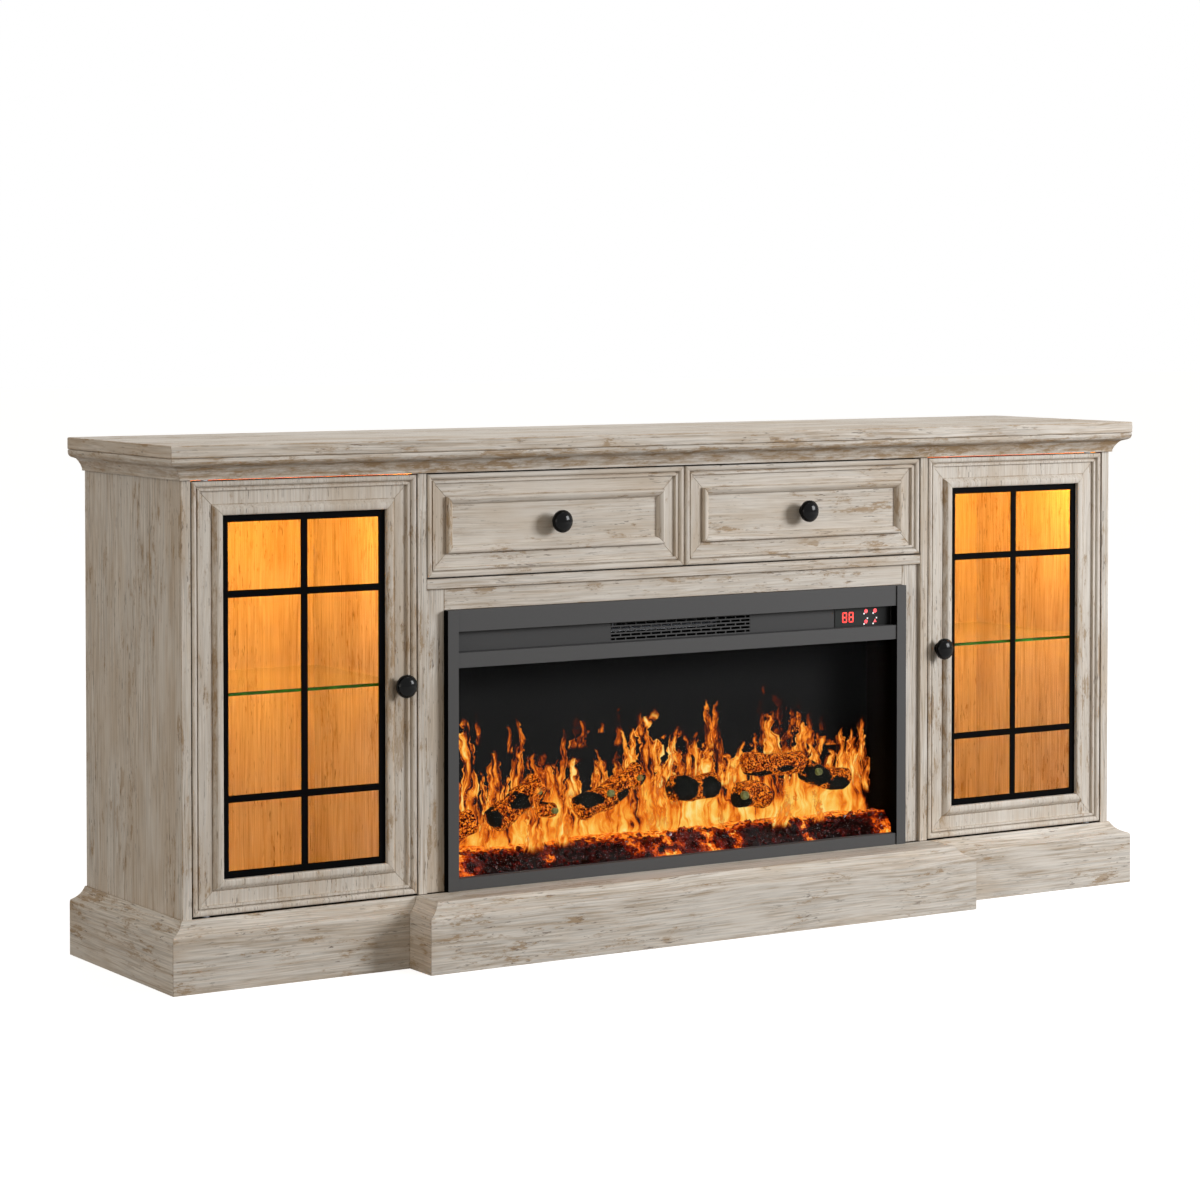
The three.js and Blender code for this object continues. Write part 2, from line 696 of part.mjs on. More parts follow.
// A hinge pin with a collar in the gap between two faces
function addHingePin(stand, name, side, lowFace, highFace) {
  const profile = [
    [0, lowFace - pinReach], [pinRadius, lowFace - pinReach],
    [pinRadius, lowFace + glueLine], [collarRadius, lowFace + glueLine],
    [collarRadius, highFace - glueLine], [pinRadius, highFace - glueLine],
    [pinRadius, highFace + pinReach], [0, highFace + pinReach],
  ];
  const points = profile.map(([radius, height]) => new THREE.Vector2(radius, height));
  const pin = new THREE.LatheGeometry(points, roundSides).rotateX(Math.PI / 2);
  const place = side * (sideInner - sideReveal - pinInset);
  addPiece(stand, name, bareSteel, pin.translate(place, pinDepth, 0));
}

function addDrawer(stand, side, word) {
  const drawer = new THREE.Group();
  const middle = sideReveal + drawerWidth / 2;
  drawer.position.set(side * middle, 0, deckTop);
  stand.add(drawer);
  const border = borderProfile();
  const crest = [drawerCrestInset, 0];
  const panelEdge = [drawerMouldingEnd, drawerPanelDepth];
  const profile = [
    [drawerHeight / 2, frontThickness],
    ...border, ...curve(border.at(-1), crest, riseLeanShares), ...curve(crest, panelEdge, fallLeanShares),
    [drawerHeight / 2, drawerPanelDepth],
  ];
  const frontMiddle = endReveal + drawerHeight / 2;
  const front = mitredFrame(profile, drawerWidth, drawerHeight).translate(0, 0, frontMiddle);
  addPiece(drawer, `${word}_drawer_front`, washedWood, front);

  const shift = side * ((drawerOuter + drawerInner) / 2 - middle);
  const half = (drawerOuter - drawerInner) / 2;
  const boxFront = frontThickness + glueLine;
  const boxBack = boxFront + drawerBoxLength;
  const boxTop = drawerBottomClearance + drawerBoxHeight;
  const box = block([-half, half], [boxFront, boxBack], [drawerBottomClearance, boxTop]);
  const hollow = block(
    [-half + drawerWall, half - drawerWall],
    [boxFront + drawerWall, boxBack - drawerWall],
    [drawerBottomClearance + drawerFloor, boxTop + cutOverrun],
  );
  const grooveHalf = runnerHeight / 2 + runnerPlay;
  const grooveMiddle = drawerBottomClearance + drawerBoxHeight / 2;
  const grooves = sides.map((wall) => block(
    onSide(wall.side, half - runnerTongue - runnerPlay, half + cutOverrun),
    [frontThickness + runnerStart, boxBack + cutOverrun],
    [grooveMiddle - grooveHalf, grooveMiddle + grooveHalf],
  ));
  addPiece(drawer, `${word}_drawer_box`, rawWood, cut(box, hollow, ...grooves).translate(shift, 0, 0));
  const knob = knobShape(0, drawerPanelDepth - glueLine, frontMiddle);
  addPiece(drawer, `${word}_drawer_knob`, glossBlack, knob);

  const runnerMiddle = deckTop + grooveMiddle;
  const runnerRange = [runnerMiddle - runnerHeight / 2, runnerMiddle + runnerHeight / 2];
  const runnerDepth = [frontThickness + runnerSetback, backFace - shelfBackSpace];
  const outerRunner = onSide(side, drawerOuter - runnerTongue, centreInner - glueLine);
  const innerRunner = onSide(side, dividerHalf + glueLine, drawerInner + runnerTongue);
  addPiece(stand, `runner_${word}_outer`, bareSteel, block(outerRunner, runnerDepth, runnerRange));
  addPiece(stand, `runner_${word}_inner`, bareSteel, block(innerRunner, runnerDepth, runnerRange));
}

function addInsertFront(insert) {
  const half = insertWidth / 2;
  const windowX = [-windowHalf, windowHalf];
  const recess = rectangle(windowX, [recessBottom, recessTop]);
  const window = rectangle(windowX, [windowBottom, windowTop]);
  const outline = rectangle([-half, half], [insertBottom, insertTop]);
  const railFront = insertStileProud - insertProud;
  const plate = uprightPlate(outline, [recess, window], railFront, insertFrameDepth);
  const stiles = sides.map(({ side }) => (
    block(onSide(side, windowHalf, half), [-insertProud, railFront + cutOverrun], [insertBottom, insertTop])
  ));
  addPiece(insert, "insert_frame", charcoalMetal, join(plate, ...stiles));

  const lapX = [-windowHalf - fireGlassLap, windowHalf + fireGlassLap];
  const glassRange = [windowBottom - fireGlassLap, windowTop + fireGlassLap];
  const glass = block(lapX, [fireboxFront, fireboxFront + fireGlassThickness], glassRange);
  addPiece(insert, "fire_glass", clearGlass, glass);

  const ventHole = rectangle(
    [-ventHalf - glueLine, ventHalf + glueLine],
    [recessBottom - glueLine, recessTop + glueLine],
  );
  const stripOutline = rectangle(lapX, [recessBottom - fireGlassLap, recessTop + fireGlassLap]);
  const strip = uprightPlate(stripOutline, [ventHole], fireboxFront, panelSheet);
  addPiece(insert, "control_panel", charcoalMetal, strip);
  addPiece(insert, "vent_grille", charcoalMetal, ventGrille());
  const display = block(
    [displayLeft, displayLeft + displayWidth],
    [insertBack - displayThickness, insertBack],
    [recessBottom + displayMargin, recessTop - displayMargin],
  );
  addPiece(insert, "display", darkLens, display);
}

// Rows of slots laid like bricks: every other row is moved by half a slot and has half slots at its ends
function ventGrille() {
  const pitch = ventWidth / ventSlotsPerRow;
  const middle = (recessTop + recessBottom) / 2;
  const slots = [];
  for (let row = 0; row < ventRows; row += 1) {
    const height = middle + (row - (ventRows - 1) / 2) * ventRowPitch;
    const shift = row % 2 ? 0 : -pitch / 2;
    const count = row % 2 ? ventSlotsPerRow : ventSlotsPerRow + 1;
    for (let i = 0; i < count; i += 1) {
      const start = Math.max(-ventHalf, -ventHalf + shift + i * pitch);
      const end = Math.min(ventHalf, -ventHalf + shift + (i + 1) * pitch);
      const x = [start + ventSlotGap / 2, end - ventSlotGap / 2];
      slots.push(rectangle(x, [height - ventSlotHeight / 2, height + ventSlotHeight / 2]));
    }
  }
  const outline = rectangle([-ventHalf, ventHalf], [recessBottom, recessTop]);
  return uprightPlate(outline, slots, fireboxFront, ventSheet);
}

function addFirebox(insert) {
  const outer = block([-fireboxHalf, fireboxHalf], [fireboxFront, fireboxBack], [insertBottom, fireboxTop]);
  const hollowX = [-chamberHalf, chamberHalf];
  const hollowY = [fireboxFront - cutOverrun, fireboxBack - fireboxSheet];
  const chamber = block(hollowX, hollowY, [chamberFloor, ductFloor]);
  const duct = block(hollowX, hollowY, [ductFloor + fireboxSheet, fireboxTop - fireboxSheet]);
  const wheelBrackets = sides.map(({ side }) => block(
    onSide(side, wheelBracketInner, wheelBracketInner + bracketSheet),
    [wheelMiddleY - bracketWidth / 2, wheelMiddleY + bracketWidth / 2],
    [ductFloor + fireboxSheet / 2, wheelMiddleZ + bracketHead],
  ));
  const rotorBrackets = sides.map(({ side }) => block(
    onSide(side, rotorBracketInner, rotorBracketInner + bracketSheet),
    [rotorMiddleY - bracketWidth / 2, rotorMiddleY + bracketWidth / 2],
    [chamberFloor - fireboxSheet / 2, rotorMiddleZ + bracketHead],
  ));
  const bearingRadius = shaftRadius + shaftPlay;
  const wheelBearing = barAlongX(bearingRadius, -wheelShaftHalf, wheelShaftHalf, wheelMiddleY, wheelMiddleZ);
  const rotorBearing = barAlongX(bearingRadius, -rotorShaftHalf, rotorShaftHalf, rotorMiddleY, rotorMiddleZ);
  const shell = join(cut(outer, chamber, duct), ...wheelBrackets, ...rotorBrackets);
  addPiece(insert, "firebox", blackMetal, cut(shell, wheelBearing, rotorBearing));

  const screen = block(
    [-chamberHalf + glueLine, chamberHalf - glueLine],
    [screenFront, screenFront + screenThickness],
    [chamberFloor + glueLine, ductFloor - glueLine],
  );
  addPiece(insert, "flame_screen", flameSheet, screen);
}

function addEmbersAndLogs(insert) {
  const slopeTop = [bedFront + bedSlopeDepth, bedDeck];
  const slopeFoot = [bedFront, chamberFloor + bedFrontHeight];
  const outline = [
    [bedFront, chamberFloor + glueLine], [screenFront - glueLine, chamberFloor + glueLine],
    [screenFront - glueLine, bedDeck], slopeTop,
    ...curve(slopeTop, slopeFoot, bedLeanShares),
  ];
  const shape = new THREE.Shape(outline.map(([y, z]) => new THREE.Vector2(y, z)));
  const length = 2 * (chamberHalf - glueLine);
  const bed = new THREE.ExtrudeGeometry(shape, { depth: length, bevelEnabled: false });
  const alongX = new THREE.Vector3(1, 0, 0);
  const alongY = new THREE.Vector3(0, 1, 0);
  const alongZ = new THREE.Vector3(0, 0, 1);
  bed.applyMatrix4(new THREE.Matrix4().makeBasis(alongY, alongZ, alongX)).translate(-length / 2, 0, 0);
  addPiece(insert, "ember_bed", emberResin, bed);

  const windowHeight = windowTop - windowBottom;
  const grateHalf = chamberHalf - logGrateEndSpace;
  const grateY = [fireboxFront + logGrateSetback, fireboxFront + logGrateSetback + logGrateWidth];
  const logY = (grateY[0] + grateY[1]) / 2;
  const grateZ = [bedDeck + glueLine, bedDeck + glueLine + logGrateHeight];
  const bodies = [block([-grateHalf, grateHalf], grateY, grateZ)];
  logShares.forEach(([fromX, fromZ, toX, toZ, thickness], index) => {
    const radius = thickness * windowHeight;
    const ends = [[fromX, fromZ], [toX, toZ]].map(([x, z]) => (
      new THREE.Vector3(x * windowHalf, logY, windowBottom + z * windowHeight)
    ));
    bodies.push(logShape(ends[0], ends[1], radius, index));
    pegShares.forEach((share) => {
      const top = ends[0].clone().lerp(ends[1], share);
      bodies.push(block([top.x - logPegWidth / 2, top.x + logPegWidth / 2], grateY, [grateZ[0], top.z]));
    });
  });
  addPiece(insert, "log_set", charredResin, join(...bodies));
}

// A tapered, knotty log between two places; its number turns the knots
function logShape(from, to, radius, number) {
  const length = from.distanceTo(to);
  const log = new THREE.CylinderGeometry(radius * logTaperShare, radius, length, logSides, logSteps);
  const place = log.attributes.position;
  for (let i = 0; i < place.count; i += 1) {
    const [x, y, z] = [place.getX(i), place.getY(i), place.getZ(i)];
    const along = y / length;
    const around = Math.atan2(z, x);
    const swell = 1 + logKnotShare * Math.sin(3 * around + number) * Math.cos(2 * Math.PI * along + number);
    const bend = logBendShare * radius * Math.cos(Math.PI * along) * (number % 2 ? 1 : -1);
    place.setXYZ(i, x * swell + bend, y, z * swell);
  }
  const direction = to.clone().sub(from).normalize();
  const turn = new THREE.Quaternion().setFromUnitVectors(new THREE.Vector3(0, 1, 0), direction);
  const middle = from.clone().add(to).multiplyScalar(1 / 2);
  return log.applyQuaternion(turn).translate(middle.x, middle.y, middle.z);
}

function addBlowerWheel(insert) {
  const shaft = barAlongX(shaftRadius, -wheelShaftHalf, wheelShaftHalf, 0, 0);
  const half = wheelLength / 2;
  const discs = sides.map(({ side }) => {
    const span = onSide(side, half - wheelDisc, half);
    return barAlongX(wheelRadius, ...span, 0, 0);
  });
  const blades = [];
  for (let i = 0; i < wheelBlades; i += 1) {
    const blade = block(
      [-half + wheelDisc / 2, half - wheelDisc / 2],
      [wheelRadius - wheelBladeDepth - wheelDisc, wheelRadius - wheelDisc],
      [-wheelBladeSheet / 2, wheelBladeSheet / 2],
    );
    blades.push(blade.rotateX((i / wheelBlades) * 2 * Math.PI));
  }
  const wheel = join(shaft, ...discs, ...blades);
  addPiece(insert, "blower_wheel", bareSteel, wheel.translate(0, wheelMiddleY, wheelMiddleZ));
}

function addFlameRotor(insert) {
  const vaneSpan = 2 * (rotorBracketInner - rotorVaneLength);
  const vanes = [];
  for (let i = 0; i < rotorVanes; i += 1) {
    const x = vaneSpan * (i / (rotorVanes - 1) - 1 / 2);
    const vane = block(
      [x - rotorVaneLength / 2, x + rotorVaneLength / 2],
      [0, rotorVaneReach],
      [-rotorVaneSheet / 2, rotorVaneSheet / 2],
    );
    vanes.push(vane.rotateX(i * rotorVaneTurn));
  }
  const rotor = join(barAlongX(shaftRadius, -rotorShaftHalf, rotorShaftHalf, 0, 0), ...vanes);
  addPiece(insert, "flame_rotor", bareSteel, rotor.translate(0, rotorMiddleY, rotorMiddleZ));
}

const stand = new THREE.Group();
addTop(stand);
addCarcass(stand);
addPlinth(stand);
addSurround(stand);
sides.forEach(({ side, word }) => {
  addDoor(stand, side, word);
  addDrawer(stand, side, word);
});
const insert = new THREE.Group();
stand.add(insert);
addInsertFront(insert);
addFirebox(insert);
addEmbersAndLogs(insert);
addBlowerWheel(insert);
addFlameRotor(insert);

// The part's origin is on the floor, in the middle of its width and of its whole depth
stand.position.y = -(carcassDepth - centrePlinthStep - mouldingReach) / 2;
export default new THREE.Group().add(stand);
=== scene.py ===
# Looks of a washed wood stand with an electric fireplace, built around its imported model.
# Lengths are in metres. x runs to the right, y to the back and z up; the doors and the fire face -y.
import json
import math
import random

import bmesh
import bpy
from mathutils import Matrix, Vector, noise

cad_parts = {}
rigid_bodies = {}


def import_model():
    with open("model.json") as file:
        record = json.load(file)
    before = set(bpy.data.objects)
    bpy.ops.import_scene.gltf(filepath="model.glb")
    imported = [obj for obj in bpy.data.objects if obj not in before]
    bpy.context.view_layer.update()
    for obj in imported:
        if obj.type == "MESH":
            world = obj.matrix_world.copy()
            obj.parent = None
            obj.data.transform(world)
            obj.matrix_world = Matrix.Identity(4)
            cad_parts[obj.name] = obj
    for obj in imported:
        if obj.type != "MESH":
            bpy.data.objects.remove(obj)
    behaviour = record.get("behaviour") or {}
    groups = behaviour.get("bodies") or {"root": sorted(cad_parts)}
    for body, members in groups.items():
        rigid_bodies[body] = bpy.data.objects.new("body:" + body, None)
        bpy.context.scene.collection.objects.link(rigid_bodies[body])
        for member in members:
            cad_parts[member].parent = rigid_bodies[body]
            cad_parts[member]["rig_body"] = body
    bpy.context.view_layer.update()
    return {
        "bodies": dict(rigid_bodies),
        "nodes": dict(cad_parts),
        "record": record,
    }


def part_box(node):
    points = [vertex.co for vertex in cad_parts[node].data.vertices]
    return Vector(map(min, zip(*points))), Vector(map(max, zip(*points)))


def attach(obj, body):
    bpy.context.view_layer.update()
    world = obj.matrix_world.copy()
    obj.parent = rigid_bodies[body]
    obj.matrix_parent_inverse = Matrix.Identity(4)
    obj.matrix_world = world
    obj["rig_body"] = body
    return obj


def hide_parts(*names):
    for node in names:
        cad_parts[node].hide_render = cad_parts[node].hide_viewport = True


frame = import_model()

SIDES = ("left", "right")
MILLIMETRES = 1000

# The photograph's camera
CAMERA_PLACE = (-2.9004, -4.4923, 0.9895)
CAMERA_TILT = math.radians(88.16)
CAMERA_TURN = math.radians(-32.13)
CAMERA_LENS = 101.02
CAMERA_SENSOR = 36
CAMERA_SHIFT = -0.1607

# Edges and steps of round shapes
EDGE_ROUND = 0.0008
FINE_ROUND = 0.0004
MERGE_REACH = 0.00001
FLAT_ANGLE = math.radians(1)
SHARP_ANGLE = math.radians(38)
SMOOTH_ANGLE = math.radians(34)
CURVE_STEPS = 10
ROUND_STEPS = 48
MITRE_GAP = 0.00025

# Crown moulding, from its foot up: how far each part reaches out and how high it is
CROWN_LIP = (0.0045, 0.003)
CROWN_COVE = (0.010, 0.0155)
CROWN_STEP = (0.006, 0.002)
CROWN_ROUND = (0.007, 0.0075)

# Plinth moulding
PLINTH_FACE_HEIGHT = 0.0775
PLINTH_ROUND = (0.002, 0.0065)
PLINTH_LIP_REACH = 0.003
MOULDING_REACH = 0.028

# Room between a moulding and the boards beside it
MOULDING_ROOM = 0.0003

# Moulded border of doors and drawer fronts: insets from the edge and depths behind the front
BEAD_WIDTH = 0.009
BEAD_DROP = 0.003
QUIRK_WIDTH = 0.0016
QUIRK_DEPTH = 0.0062
FILLET_DEPTH = 0.0024
FLAT_INSET = 0.0145
FLAT_DEPTH = 0.0068
INNER_INSET = 0.034
INNER_DEPTH = 0.0032
GROOVE = 0.0011
DOOR_SHOULDER = (0.0402, 0.0008)
DOOR_CREST_INSET = 0.0435
DOOR_FRAME_WIDTH = 0.050
DOOR_INNER_DEPTH = 0.0022
DOOR_REBATE = 0.008
DOOR_GLASS_DEPTH = 0.0095
DRAWER_CREST_INSET = 0.0385
DRAWER_PANEL_INSET = 0.047
DRAWER_PANEL_DEPTH = 0.0085
FRONT_THICKNESS = 0.018

# Painted shade and wear of the mouldings: how far a cove's faces look down to take painted shade, how
# shaded the cove is, and how worn and shaded each part of a door's uprights is
COVE_TILT = -0.25
COVE_SHADE = 1.1
BEAD_WEAR_AND_SHADE = 0.7
SLOPE_SHADE = 1.2

# The glowing strip painted as light above the doors, the strip of painted shade below them, and how near
# the cabinet's middle the sides of a front stay free of painted shade
LINE_CLEARANCE = 0.0003
LINE_THICKNESS = 0.0006
SHADED_STRIP = 0.016
PALE_MIDDLE = 0.028

# How squarely a face looks along an axis: nearly straight, or more than half way
FACING = 0.9
LEANING = 0.7

# Each board's own number, by which its grain is moved
BOARD_COUNT = 97
BOARD_SPACING = 7.0

# How the curves of the profiles lean: the share of both steps at which their pull point stands
COVE_LEAN = (0.3, 0.6)
CROWN_ROUND_LEAN = (0.85, 0.15)
PLINTH_EDGE_LEAN = (0.1, 0.9)
PLINTH_SLOPE_LEAN = (0.74, 0.25)
DEPTH_FIRST = (0, 1)
INSET_FIRST = (1, 0)
DOOR_SLOPE_LEAN = (0.42, 0.58)
DOOR_CREST_LEAN = (0.4, 1)
DRAWER_SLOPE_LEAN = (0.85, 0.25)

# Colours, as they look on a screen
WASH_PALE = (0.895, 0.870, 0.835)
WASH_MIDDLE = (0.840, 0.800, 0.750)
WASH_DARK = (0.770, 0.718, 0.655)
WASH_TAN = (0.770, 0.695, 0.600)
WORN_BROWN = (0.660, 0.555, 0.430)
PORE_BROWN = (0.340, 0.260, 0.185)
BOARD_BROWN = (0.560, 0.440, 0.310)
BOARD_SHADE = (0.46, 0.35, 0.24)
CHARCOAL = (0.303, 0.303, 0.306)
STRIP_TONE = (0.272, 0.272, 0.275)
BLACK_PAINT = (0.022, 0.022, 0.025)
# Brown of the painted shade in gaps, under mouldings and under the doors
SHADE_BROWN = (0.125, 0.095, 0.072)
FIREBOX_BLACK = (0.012, 0.012, 0.012)
CASE_GREY = (0.34, 0.34, 0.35)
GRILLE_TONE = (0.320, 0.320, 0.323)
DISPLAY_GREY = (0.185, 0.195, 0.192)
KNOB_BLACK = (0.020, 0.020, 0.022)
STEEL_GREY = (0.62, 0.63, 0.65)
STEEL_PALE = (0.75, 0.76, 0.78)
GLASS_CLEAR = (0.985, 0.99, 0.985)
GLASS_GREENISH = (0.985, 1.0, 0.99)
SHELF_EDGE_GREENS = ((0.02, 0.34, 0.08), (0.10, 0.56, 0.18))
LED_WARM = (1.0, 0.62, 0.24)
LEAK_RED = (0.92, 0.27, 0.07)
DIGIT_RED = (1.0, 0.13, 0.10)
KEY_PINK = (1.0, 0.20, 0.27)
KEY_MARK_GREY = (0.9, 0.9, 0.9)
GLARE = (1.0, 0.9, 0.8)
SOOT_BLACK = (0.035, 0.045, 0.040)
BARK_BROWN = (0.05, 0.04, 0.035)
NO_COLOUR = (0, 0, 0, 1)
TWIG_GREENS = ((0.26, 0.27, 0.12), (0.46, 0.46, 0.24))
# White of the painted glints on the ember lumps
SPARKLE = (0.85, 0.80, 0.82)

# Colour ramps: the value at which each colour stands
WASH_RAMP = ((0.37, WASH_DARK), (0.45, WASH_MIDDLE), (0.54, WASH_PALE))
FLAME_RAMP = (
    (0.04, (0.28, 0.06, 0.012)), (0.20, (0.55, 0.17, 0.04)), (0.38, (0.86, 0.37, 0.085)),
    (0.58, (0.99, 0.58, 0.18)), (0.78, (1.0, 0.75, 0.33)), (1.0, (1.0, 0.88, 0.54)),
)
MASS_RAMP = (
    (0.02, (0.36, 0.08, 0.015)), (0.18, (0.74, 0.27, 0.05)), (0.38, (0.95, 0.50, 0.13)),
    (0.60, (1.0, 0.69, 0.26)), (0.82, (1.0, 0.81, 0.40)), (1.0, (1.0, 0.88, 0.55)),
)
BARK_RAMP = (
    (0.18, (0.08, 0.020, 0.006)), (0.40, (0.44, 0.10, 0.018)), (0.58, (0.76, 0.25, 0.045)),
    (0.80, (0.94, 0.42, 0.08)), (1.0, (1.0, 0.58, 0.15)),
)
EMBER_GLOW_RAMP = (
    (0.04, (0.04, 0.004, 0.002)), (0.25, (0.42, 0.08, 0.02)), (0.50, (0.92, 0.36, 0.05)),
    (0.75, (1.0, 0.60, 0.17)), (1.0, (1.0, 0.82, 0.42)),
)
EMBER_GLASS_RAMP = (
    (0.15, (0.05, 0.010, 0.010)), (0.55, (0.28, 0.035, 0.025)), (0.95, (0.62, 0.10, 0.06)),
)

# Noises of the washed grain: stretch along and across the boards, detail and roughness
FIGURE = ((2.2, 9.0, 9.0), 2.0, 0.5)
CLOUDS = ((4.5, 13.0, 13.0), 3.0, 0.6)
PATCHES = ((19.0, 76.0, 76.0), 8.0, 0.76)
TANS = ((3.4, 12.0, 12.0), 4.0, 0.6)
STREAKS = ((8.0, 290.0, 290.0), 4.0, 0.62)
BANDS = ((2.2, 34.0, 34.0), 3.0, 0.55)
LINES = ((9.0, 430.0, 430.0), 2.0, 0.5)
FIBRES = ((16.0, 620.0, 620.0), 3.0, 0.65)
FLECKS = ((38.0, 330.0, 330.0), 3.0, 0.6)
SCRATCHES = ((9.0, 240.0, 240.0), 4.0, 0.75)

# Washed grain: the range of a noise or of wear, and what its ends turn into
FIGURE_BEND = (0.25, 0.75, -0.006, 0.006)
LINE_TONE = (0.38, 0.60, 0.84, 1.06)
FIBRE_TONE = (0.34, 0.62, 0.88, 1.04)
TAN_SHARE = (0.46, 0.68, 0.0, 0.55)
BLEACH_SHARE = (0.54, 0.70, 0.0, 0.55)
WEAR_LIMIT = (0.0, 1.0, 0.74, 0.53)
CLOUD_WEAR = (0.60, 0.35, 0.0, 1.0)
STAIN_SHARE = (-0.07, 0.03, 0.0, 0.26)
WORN_RANGE = (0.0, 0.016)
SCRATCH_WEAR = (0.40, 0.52, 0.25, 1.0)
STREAK_STAIN = (0.42, 0.34, 0.0, 0.8)
BAND_STAIN = (0.58, 0.42, 0.1, 1.0)
FLECK_RANGE = (0.630, 0.66)
CLOUD_FLECKS = (0.62, 0.42, 0.1, 1.0)
WEAR_AND_SHADE_SHARE = (0.42, 0.60, 0.0, 0.75)
WORN_ROUGHNESS = (0.0, 1.0, 0.56, 0.74)

# Washed grain: how much each noise counts, and how far apart the boards' grain is taken
BOARD_JUMP = 7.31
BOARD_JUMP_ACROSS = 0.37
WASH_LEVEL = 0.49
STREAK_WEIGHT, BAND_WEIGHT = 0.72, 0.28
CLOUD_TONE = (0.96, 1.04)
CLOUD_WEAR_WEIGHT = 0.13
WORN_WEIGHT = 0.72
STREAK_STAIN_WEIGHT = 0.42
FLECK_WEIGHT = 0.7
STREAK_HEIGHT, FIBRE_HEIGHT = 0.5, 0.25
WORN_DEPTH, FLECK_DEPTH = 0.30, 0.45
WOOD_BUMP = 0.35
WOOD_BUMP_DEPTH = 0.0006
WOOD_SHINE = 0.16

# Paint, steel, glass and board. Painted shade darkens the insert's channel under its roof and on its
# floor
SPECKLE_FINENESS = 900.0
SPECKLE_CLOUDS = 7.0
SPECKLE_TONE = (-0.06, 0.06)
SPECKLE_CLOUD_TONE = (0.94, 1.06)
SPECKLE_SHIFT = (-0.04, 0.04)
PAINT_BUMP_DEPTH = 0.0002
ROOF_SHADE, ROOF_TONE = 0.0026, 0.12
FLOOR_SHADE, FLOOR_TONE = 0.0016, 0.35
# Painted shade that turns the display black towards its right end
DISPLAY_FADE, DIMMED_TONE = (0.362, 0.394), 0.06
CASE_SKIN = 0.0006
CASE_ROUGHNESS = 0.8
CASE_SHINE = 0.02
BRUSHING = ((900.0, 30.0, 30.0), 3.0)
BRUSHED_ROUGHNESS = (0.28, 0.42)
SMEAR_SCALE = 9.0
EDGE_RIPPLE = ((60.0, 60.0, 600.0), 2.0)
EDGE_RIPPLE_RANGE = (0.35, 0.65)
EDGE_ROUGHNESS = 0.12
EDGE_SHINE = 0.05
FLICKER_SCALE = 220.0
FLICKER_SHARE = 0.2
BOARD_FIBRES = ((240.0, 240.0, 240.0), 5.0, 0.7)
BOARD_CLOUDS = 6.0
BOARD_FIBRE_WEIGHT, BOARD_CLOUD_WEIGHT = 0.6, 0.4
BOARD_ROUGHNESS = 0.8
BOARD_BUMP = 0.3
BOARD_BUMP_DEPTH = 0.0003


def screen_colour(colour, alpha=1.0):
    """A colour as written for a screen, as the linear one that shaders take."""
    return tuple(c / 12.92 if c < 0.04045 else ((c + 0.055) / 1.055) ** 2.4 for c in colour) + (alpha,)


# Shader nodes

NOISE_RANGE = (0.3, 0.7)


